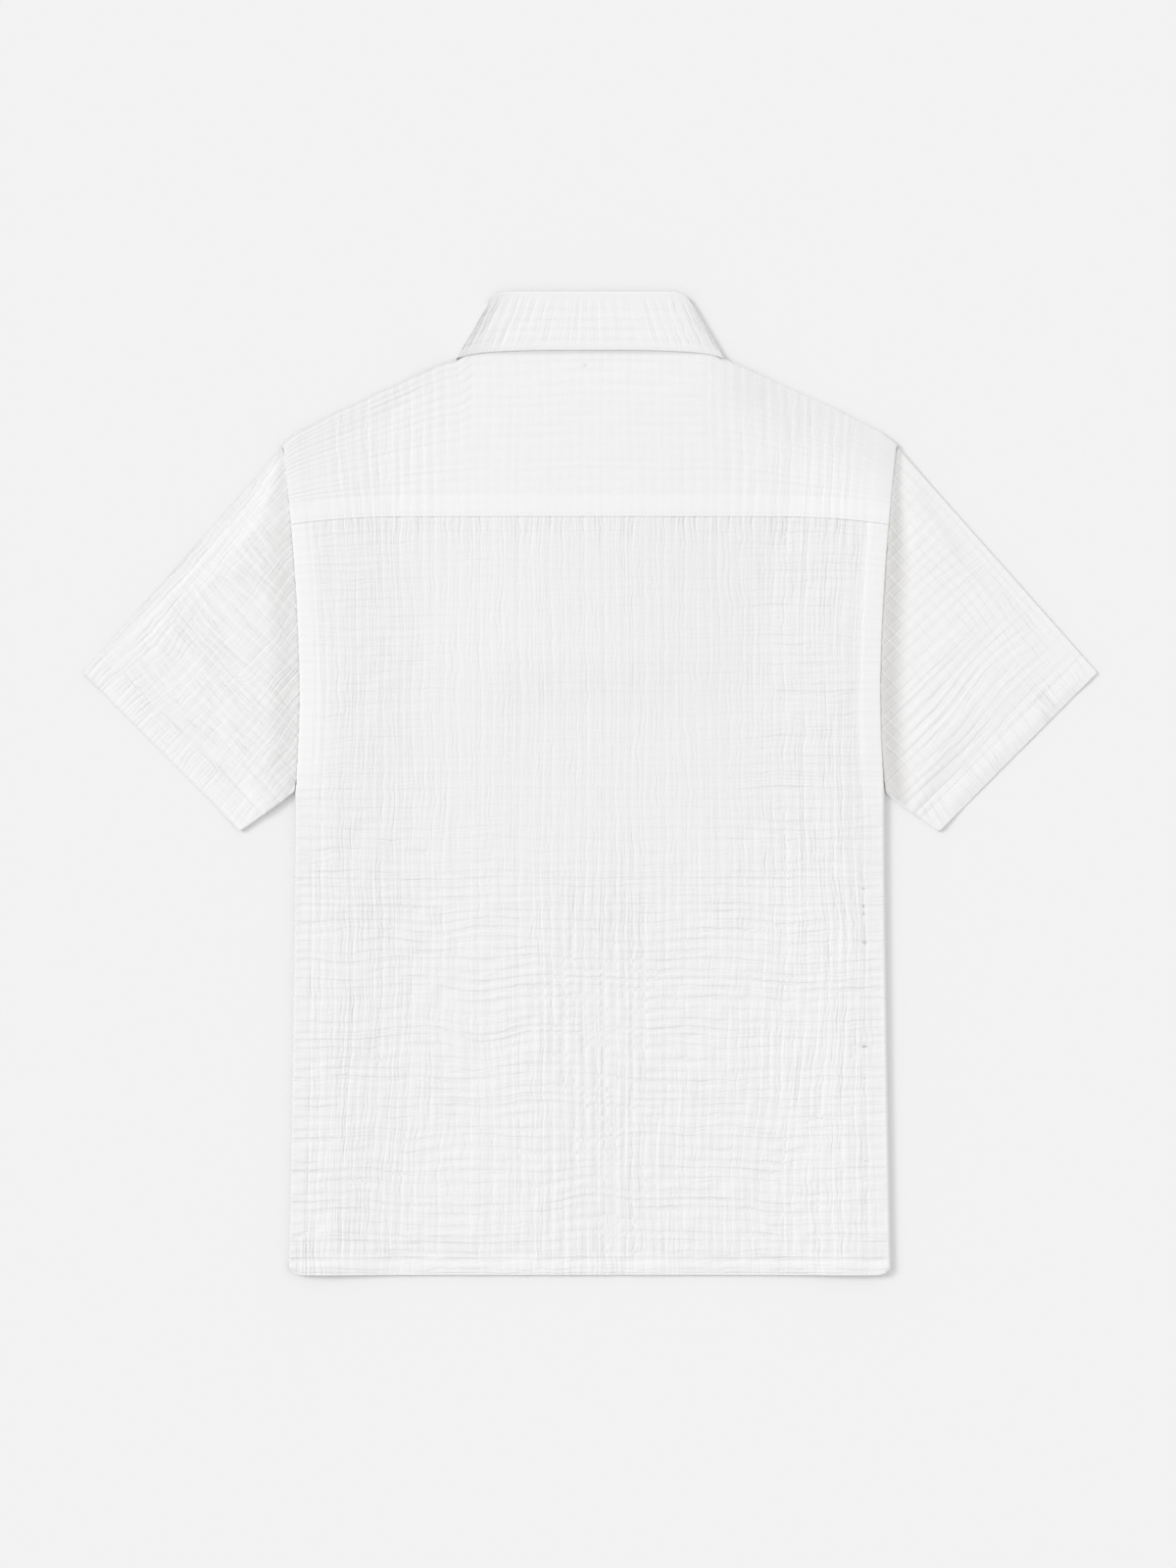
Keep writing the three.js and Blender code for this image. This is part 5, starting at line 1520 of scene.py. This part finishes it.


def make_fall():
    columns, places, crease_span = loop_places(8.0, 101)
    loop = Loop(places)
    plan_top, middle, arm, up = collar_fold(loop)
    rows = edge_lines(0.0, 1, SEAM_RADIUS) + plain_lines(1.2, 5.2, 0.7)
    rows = rows + crease_lines([7.0, FALL_REACH - 3.0], 8.5, 103)
    rows = rows + plain_lines(FALL_REACH, FALL_REACH, 1.0)
    rows.number = np.minimum(rows.number, np.max(rows.number[:-1]))
    turns = np.radians(np.arange(20, 181, 20))
    lips = np.array([2.0, LIP])

    along = columns.place
    away = np.abs(along)
    at_ends = rise(away, 45.0, 70.0) * fall(away, crease_span[0] - 3.0, crease_span[0])
    on_front = rise(away, crease_span[1], crease_span[1] + 10.0)
    place = rows.place[:, None]
    smooth_edge = mix(0.25, 1.0, rise(place, 4.0, 8.0)) * fall(place, 36.0, 44.0)
    upright = (0.4 + 0.5 * at_ends + 0.2 * on_front) * smooth_edge
    level = (0.56 - 0.2 * at_ends) * smooth_edge
    numbers = (columns.number, rows.number[:, None])
    crinkle = Crinkle(numbers, (along, place + 0 * along), (upright, level), 105, (30.0, 26.0))
    # Painted shade towards the collar's two ends.
    at_fold = rise(away, crease_span[0] - 34.0, crease_span[0] + 6.0) * (1 - on_front)
    crinkle.sheer = SHEER["collar"] + by_side(along, COLLAR_END_PAINTED_SHADE) * at_fold
    # Painted shade along the fall's lower edge.
    crinkle.hollow = COLLAR_SHADE * fall(place, 0.0, 0.8)
    crinkle.fine = 0.7
    flat_relief = crinkle.relief * np.where(on_front + fall(away, 0.0, crease_span[0]) > 0, 1.0, 0.6)
    flat_relief = flat_relief + EDGE_LIFT * fall(place, 0.0, 9.0) - rows.drop[:, None] - columns.drop
    flat_relief = flat_relief + 0.6 * stitch_groove(place - FALL_STITCH)

    def points(offset):
        """The whole fall moved out of the loop by an offset for each of its rows."""
        share = rows.place[:, None, None] / FALL_REACH
        flat_plan = mix(loop.edge, plan_top, share)
        flat = fall_point(loop, flat_plan, offset[: len(rows)])
        turn = turns[:, None, None]
        radius = np.linalg.norm(arm, axis=-1)[:, None]
        reach = 1.0 + offset[len(rows) : len(rows) + len(turns), :, None] / radius
        turned = middle + arm * reach * np.cos(turn)
        turned = turned + up * radius * reach * np.sin(turn)
        down = unit(loop.neck - plan_top)
        lip_plan = plan_top + down * lips[:, None, None]
        lip = stand_point(loop, lip_plan, -offset[-len(lips) :], np.zeros(len(along)))
        return np.concatenate([flat, turned, lip])

    fading = np.concatenate([np.cos(turns / 2), np.zeros(len(lips))])
    rest = np.tile(flat_relief[-1], (len(fading), 1)) * fading[:, None]
    rest[-len(lips) :] = -columns.drop
    relief = np.concatenate([flat_relief, rest])
    outer = points(CLOTH / 2 + relief)
    inner = points(np.full(relief.shape, -CLOTH / 2))
    marks = {}
    for name, values in crinkle.marks().items():
        marks[name] = np.concatenate([values, np.tile(values[-1:], (len(rest), 1, 1))])
    keep_rows = [*every(rows, 5), *range(len(rows) + 1, len(outer) - 1, 2), len(outer) - 1]
    bends = [k for k, run in enumerate(away) if crease_span[0] <= run <= crease_span[1]]
    keep_columns = every(along, 8, bends[::2])
    piece = wall("collar_fall_cloth", outer, inner, (keep_rows, keep_columns), marks)
    return piece, outer, inner, rows


fall_piece, fall_points, fall_inside, fall_rows = make_fall()
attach(fall_piece, "root")
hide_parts("collar_fall")

# %% [markdown]
# The collar stand
#
# The stand is the band that is sewn into the neckline. It is hidden by the fall over the back and shows on
# the front between the collar points, where its two ends cross under the top button. The ends are given
# by two more stations past the front edge, and the upper end is lifted by one layer of cloth.

# %% Collar stand
STAND_TAB = [(8.2, 278.9, 8.5, 305.5), (-7.5, 278.9, -7.2, 302.0)]   # neck x, y and top x, y


def make_stand():
    count = len(STATIONS)
    loop = Loop(np.arange(count, dtype=float))
    plan_top = collar_fold(loop)[0]
    down = unit(loop.neck - plan_top)
    tab = np.array(STAND_TAB)
    tops = np.concatenate([plan_top + down * (LIP + SEAM_GAP), tab[:, 2:]])
    necks = np.concatenate([loop.neck, tab[:, :2]])
    turns = np.concatenate([np.degrees(loop.turn), [180.0, 180.0]])
    crossings = np.concatenate([np.zeros(count), np.ones(len(tab))])

    last = count + len(tab) - 1
    bend_start, bend_end = CREASE_STATIONS
    back_part, bend = np.linspace(0, bend_start, 60), np.linspace(bend_start, bend_end, 17)[1:]
    half = np.concatenate([back_part, bend, np.linspace(bend_end, last, 100)[1:]])
    places = np.concatenate([-half[:0:-1], half])
    side = np.where(places < 0, -1.0, 1.0)

    def read(values):
        return smooth_through(values, np.abs(places))

    loop = Loop(np.clip(places, 1 - count, count - 1))
    loop.turn = np.radians(read(turns))
    top = np.stack([side * read(tops[:, 0]), read(tops[:, 1])], axis=-1)
    neck = np.stack([side * read(necks[:, 0]), read(necks[:, 1])], axis=-1)
    crossing = read(crossings) * (side > 0)

    rows = plain_lines(0.0, 1.0, 1 / 16)
    share = rows.place[:, None]
    plan = mix(top, neck, share[..., None])
    x, y = plan[..., 0], plan[..., 1]
    crinkle = Crinkle((places / 0.16, NO_CREASE + 0 * share), (x, y), (0.35, 0.0), 111)
    stitched = 0.7 * stitch_groove((1.0 - share) * 27.0 - 2.5)
    relief = crinkle.relief * rise(share, 0.0, 0.15) + stitched
    outer = stand_point(loop, plan, CLOTH / 2 + relief, share + 0 * x, crossing)
    inner = stand_point(loop, plan, -CLOTH / 2 + 0 * relief, share + 0 * x, crossing)
    bends = np.flatnonzero((np.abs(places) >= bend_start) & (np.abs(places) <= bend_end))
    keep = (every(rows, 4), every(places, 8, bends[::2].tolist()))
    return wall("collar_stand_cloth", outer, inner, keep, crinkle.marks())


stand = make_stand()
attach(stand, "root")
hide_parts("collar_stand")

# %% [markdown]
# The placket
#
# A polo's placket is two strips, one over the other. The outer one carries the buttonholes and is stitched
# down all round, and the inner one is wider and hidden. Both lie under the back here, face down, and stand
# on the buttons. Each is a flat wall with round edges.

# %% Placket
PLACKET_STITCH = 2.2                          # from the edges of the outer strip
BUTTON_Y = (292.0, 235.0, 178.0)
BUTTONHOLE = {"length": 14.0, "slit": 0.8}


def make_strip(name, from_x, to_x, low, stitched, seed):
    columns = edge_lines(from_x, 1, SEAM_RADIUS) + plain_lines(from_x + 1.2, to_x - 1.2, 1.0)
    columns = columns + edge_lines(to_x, -1, SEAM_RADIUS)
    bottom, top = PLACKET["bottom"], PLACKET["top"]
    rows = edge_lines(bottom, 1, SEAM_RADIUS) + plain_lines(bottom + 1.2, top - 1.2, 1.0)
    rows = rows + edge_lines(top, -1, SEAM_RADIUS)
    x = columns.place + 0 * rows.place[:, None]
    y = rows.place[:, None] + 0 * columns.place
    crinkle = Crinkle((x / 7.0, y / 8.0), (x, y), (0.22, 0.3), seed)
    relief = np.minimum(crinkle.relief, 0.0) - columns.drop - rows.drop[:, None]
    if stitched:
        inset = np.minimum.reduce([x - from_x, to_x - x, y - bottom])
        relief = relief + stitch_groove(inset - PLACKET_STITCH)
        for button_y in BUTTON_Y[1:]:
            beside = np.hypot(x, np.maximum(np.abs(y - button_y) - BUTTONHOLE["length"] / 2, 0.0))
            relief = relief - 0.5 * np.exp(-((beside / BUTTONHOLE["slit"]) ** 2))
    outer = np.stack([x, y, low - relief], axis=-1)
    inner = np.stack([x, y, low + CLOTH + 0 * relief], axis=-1)
    keep = (every(rows, 8), every(columns, 8))
    return wall(name, outer, inner, keep, crinkle.marks()), outer, inner, (rows, columns)


half, tuck = PLACKET["half"], PLACKET["tuck"]
outer_strip = make_strip("placket_outer_cloth", -half, half, BUTTON_LIFT, True, 121)
strip, strip_points, strip_inside, strip_lines = outer_strip
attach(strip, "root")
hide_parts("placket_outer")

inner_strip = make_strip("placket_inner_cloth", 1 - half, half + tuck, BUTTON_LIFT + LAYER, False, 123)[0]
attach(inner_strip, "root")
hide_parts("placket_inner")

# %% [markdown]
# Topstitching
#
# White thread on white cloth is seen mostly as a row of small bumps in a shallow groove. Each stitch is a
# thin spindle that dives into the cloth at both ends. The rows of the meshes lie exactly on the stitch
# lines, so a seam's stitches are strung along one row of points, and each seam is one joined mesh.

# %% Topstitching
STITCH = {"length": 2.5, "gap": 0.75, "radius": 0.2, "lift": 0.05, "sides": 5}
STITCH_RINGS = np.array([0.0, 0.18, 0.5, 0.82, 1.0])   # along a stitch, as shares of its length
STITCH_THICKNESS = np.array([0.35, 0.9, 1.0, 0.9, 0.35])
STITCH_HEIGHT = np.array([-0.28, 0.0, 0.1, 0.0, -0.28])
THREAD_WHITE = (0.885, 0.885, 0.88, 1)
THREAD_PAINTED_SHADE = (0.83, 0.83, 0.825, 1)


def make_thread():
    tree = Tree("sewing_thread", {"Roughness": 0.6, "Sheen Weight": 0.15})
    place = tree.add("ShaderNodeTexCoord").outputs["Object"]
    twist = tree.add("ShaderNodeTexWave", {"bands_direction": "DIAGONAL"}, Vector=place, Scale=700.0)
    # The thread is darker in the grooves of its twist: painted shade.
    tint = tree.blend(twist.outputs[1], THREAD_PAINTED_SHADE, THREAD_WHITE)
    return tree.surface(tint, twist.outputs[1], 0.6, 0.05 * MM)


materials["thread"] = make_thread()


def smooth_mesh(name, points, faces, slot):
    """A mesh that is shaded smooth all over and carries no marks."""
    return make_mesh(name, points, [np.array(face) for face in faces], [True] * len(faces), {}, slot)


def spindle_faces(rings, sides):
    """Faces round a row of rings, with a cap at each end."""
    faces = []
    for ring in range(rings - 1):
        for k in range(sides):
            a, b = ring * sides + k, ring * sides + (k + 1) % sides
            faces.append([a, b, b + sides, a + sides])
    faces.append(list(range(sides))[::-1])
    faces.append([(rings - 1) * sides + k for k in range(sides)])
    return faces


def make_stitches(name, seams):
    """One mesh of all stitches along some seams, each a line of points and the way out of the cloth."""
    angles = np.arange(STITCH["sides"]) * 2 * np.pi / STITCH["sides"]
    template = spindle_faces(len(STITCH_RINGS), len(angles))
    points, faces = [], []
    for path, out in seams:
        run = np.concatenate([[0.0], np.cumsum(np.linalg.norm(np.diff(path, axis=0), axis=-1))])
        pace = STITCH["length"] + STITCH["gap"]
        count = int(run[-1] // pace)
        starts = (run[-1] - count * pace) / 2 + pace * np.arange(count)
        for start in starts:
            at = start + STITCH["length"] * STITCH_RINGS
            centre = np.stack([np.interp(at, run, path[:, k]) for k in range(3)], axis=-1)
            up = unit(np.array([np.interp(start, run, out[:, k]) for k in range(3)]))
            ahead = unit(centre[-1] - centre[0])
            beside = unit(np.cross(ahead, up))
            centre = centre + up * (STITCH_HEIGHT + STITCH["lift"])[:, None]
            ring = np.cos(angles)[:, None] * beside + np.sin(angles)[:, None] * up
            spindle = centre[:, None] + ring * (STITCH["radius"] * STITCH_THICKNESS)[:, None, None]
            first = len(points) * spindle[..., 0].size
            faces += [[first + corner for corner in face] for face in template]
            points.append(spindle.reshape(-1, 3))
    piece = smooth_mesh(name, np.concatenate(points), faces, "thread")
    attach(piece, "root")
    return piece


def seam_along(points, inside, row, start=0, end=None):
    """A seam on one row of a piece's points."""
    return points[row, start:end], (points - inside)[row, start:end]


def closed_seam(points, inside, row):
    path, out = seam_along(points, inside, row)
    return np.concatenate([path, path[:1]]), np.concatenate([out, out[:1]])


edge_count = len(EDGE_TURNS)
make_stitches("yoke_stitches", [
    seam_along(yoke_points, yoke_inside, yoke_rows.at(YOKE_STITCH), edge_count, -edge_count)])
make_stitches("hem_stitches", [
    seam_along(back_points, back_inside, back_rows.at(HEM_Y + HEM_STITCH)),
    seam_along(front_points, front_inside, front_rows.at(HEM_Y + HEM_STITCH))])
make_stitches("sleeve_hem_stitches", [
    closed_seam(points, inside, rows.at(SLEEVE_STITCH)) for _, points, inside, rows in sleeves.values()])
make_stitches("collar_stitches", [
    seam_along(fall_points, fall_inside, fall_rows.at(FALL_STITCH), 6, -6)])

rows, columns = strip_lines
left, right = columns.at(PLACKET_STITCH - half), columns.at(half - PLACKET_STITCH)
foot = rows.at(PLACKET["bottom"] + PLACKET_STITCH)
across = slice(left, right + 1)
make_stitches("placket_stitches", [
    (strip_points[foot, across], (strip_points - strip_inside)[foot, across]),
    *[(strip_points[foot:-6, k], (strip_points - strip_inside)[foot:-6, k]) for k in (left, right)]])

# %% [markdown]
# Buttons
#
# Small four-hole buttons of pale resin, turned with a raised rim and a shallow dish, and sewn on with two
# bars of thread. A round profile is swept into the disc, and the four holes are cut by a boolean, which is
# simpler than planning faces around them. Behind the two lower buttons the slit of each buttonhole is
# bound with thread.

# %% Buttons
BUTTON = {"hole": 0.9, "spread": 1.5}         # a hole's radius, and how far out it is both ways
BUTTON_PROFILE = [                            # distance from the middle and height above the floor
    (0.0, 0.75), (3.3, 0.75), (3.75, 0.6), (4.1, 0.2), (4.6, 0.0), (5.1, 0.1), (5.5, 0.55),
    (5.6, 1.0), (5.3, 1.55), (4.6, 1.85), (3.5, 1.9), (0.0, 1.9),
]
RESIN_PALE = (0.93, 0.92, 0.88, 1)
RESIN_SHADE = (0.86, 0.84, 0.79, 1)
THREAD_BAR = {"height": 0.85, "bow": 0.42, "radius": 0.28}
BINDING = {"radius": 0.3, "wide": 1.4, "sunk": 0.02}
TUBE_SIDES = 6


def make_resin():
    tree = Tree("button_resin", {"Roughness": 0.28, "Coat Weight": 0.3})
    place = tree.add("ShaderNodeTexCoord").outputs["Object"]
    cloud = tree.add("ShaderNodeTexNoise", Vector=place, Scale=260.0, Detail=3.0, Distortion=1.5)
    tint = tree.blend(cloud.outputs[0], RESIN_SHADE, RESIN_PALE)
    return tree.surface(tint, cloud.outputs[0], 0.3, 0.03 * MM)


materials[BUTTON_SLOT] = make_resin()


def round_piece(name, profile, centre, sides, slot):
    """A profile swept once round an upright axis. Its first and last points lie on the axis."""
    angles = np.arange(sides) * 2 * np.pi / sides
    points = [(centre[0], centre[1], profile[0][1])]
    for radius, height in profile[1:-1]:
        spots = [(radius * np.cos(angle), radius * np.sin(angle)) for angle in angles]
        points += [(centre[0] + x, centre[1] + y, height) for x, y in spots]
    points.append((centre[0], centre[1], profile[-1][1]))

    def ring(k, j):
        return 1 + k * sides + j % sides

    faces = [[0, ring(0, j + 1), ring(0, j)] for j in range(sides)]
    last = len(profile) - 3
    for k in range(last):
        faces += [[ring(k, j), ring(k, j + 1), ring(k + 1, j + 1), ring(k + 1, j)] for j in range(sides)]
    faces += [[ring(last, j), ring(last, j + 1), len(points) - 1] for j in range(sides)]
    return smooth_mesh(name, np.array(points), faces, slot)


def cut_holes(piece, centre):
    """Cuts the four thread holes through a button."""
    cutters = []
    for side_x in (-1, 1):
        for side_y in (-1, 1):
            hole = [(0.0, -1.0), (BUTTON["hole"], -1.0), (BUTTON["hole"], 3.0), (0.0, 3.0)]
            at = (centre[0] + side_x * BUTTON["spread"], centre[1] + side_y * BUTTON["spread"])
            cutters.append(round_piece("cutter", hole, at, 14, BUTTON_SLOT))
    for cutter in cutters:
        cut = piece.modifiers.new("hole", "BOOLEAN")
        cut.operation = "DIFFERENCE"
        cut.object = cutter
    graph = bpy.context.evaluated_depsgraph_get()
    cut_mesh = bpy.data.meshes.new_from_object(piece.evaluated_get(graph))
    piece.modifiers.clear()
    piece.data = cut_mesh
    for cutter in cutters:
        bpy.data.objects.remove(cutter)


def thread_bar(x, y):
    """The line of points of one bar of thread, which bows over a button from hole to hole."""
    share = np.linspace(0.0, 1.0, 7)
    along = mix(y - BUTTON["spread"], y + BUTTON["spread"], share)
    height = THREAD_BAR["height"] - THREAD_BAR["bow"] * np.sin(np.pi * share)
    return np.stack([np.full(len(share), x), along, height], axis=-1)


def buttonhole_ring(y):
    """The line of points round a buttonhole: two long sides and two round ends."""
    reach, slit = BUTTONHOLE["length"] / 2, BUTTONHOLE["slit"]
    turn = np.linspace(0.0, 2 * np.pi, 41)
    to_end = reach * np.sign(np.sin(turn)) * (np.abs(np.sin(turn)) > 0.01)
    beside = BINDING["wide"] * slit * np.cos(turn)
    level = np.full(len(turn), BUTTON_LIFT - BINDING["sunk"])
    return np.stack([beside, y + slit * np.sin(turn) + to_end, level], axis=-1)


def make_tubes(name, paths, radius):
    """Thin round tubes along lines of points, as one mesh."""
    angles = np.arange(TUBE_SIDES) * 2 * np.pi / TUBE_SIDES
    points, faces = [], []
    for path in paths:
        ahead = unit(np.gradient(path, axis=0))
        beside = unit(np.cross(ahead, np.array([0.0, 0.0, 1.0])))
        up = np.cross(beside, ahead)
        ring = np.cos(angles)[:, None] * beside[:, None] + np.sin(angles)[:, None] * up[:, None]
        first = sum(len(part) for part in points)
        points.append((path[:, None] + radius * ring).reshape(-1, 3))
        faces += [[first + corner for corner in face] for face in spindle_faces(len(path), TUBE_SIDES)]
    piece = smooth_mesh(name, np.concatenate(points), faces, "thread")
    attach(piece, "root")
    return piece


bars, bindings = [], []
for k, y in enumerate(BUTTON_Y, start=1):
    disc = round_piece(f"button_{k}_resin", BUTTON_PROFILE, (0.0, y), 48, BUTTON_SLOT)
    cut_holes(disc, (0.0, y))
    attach(disc, "root")
    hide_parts(f"button_{k}")
    bars += [thread_bar(x, y) for x in (-BUTTON["spread"], BUTTON["spread"])]
    if k > 1:
        bindings.append(buttonhole_ring(y))
make_tubes("button_threads", bars, THREAD_BAR["radius"])
make_tubes("buttonhole_binding", bindings, BINDING["radius"])
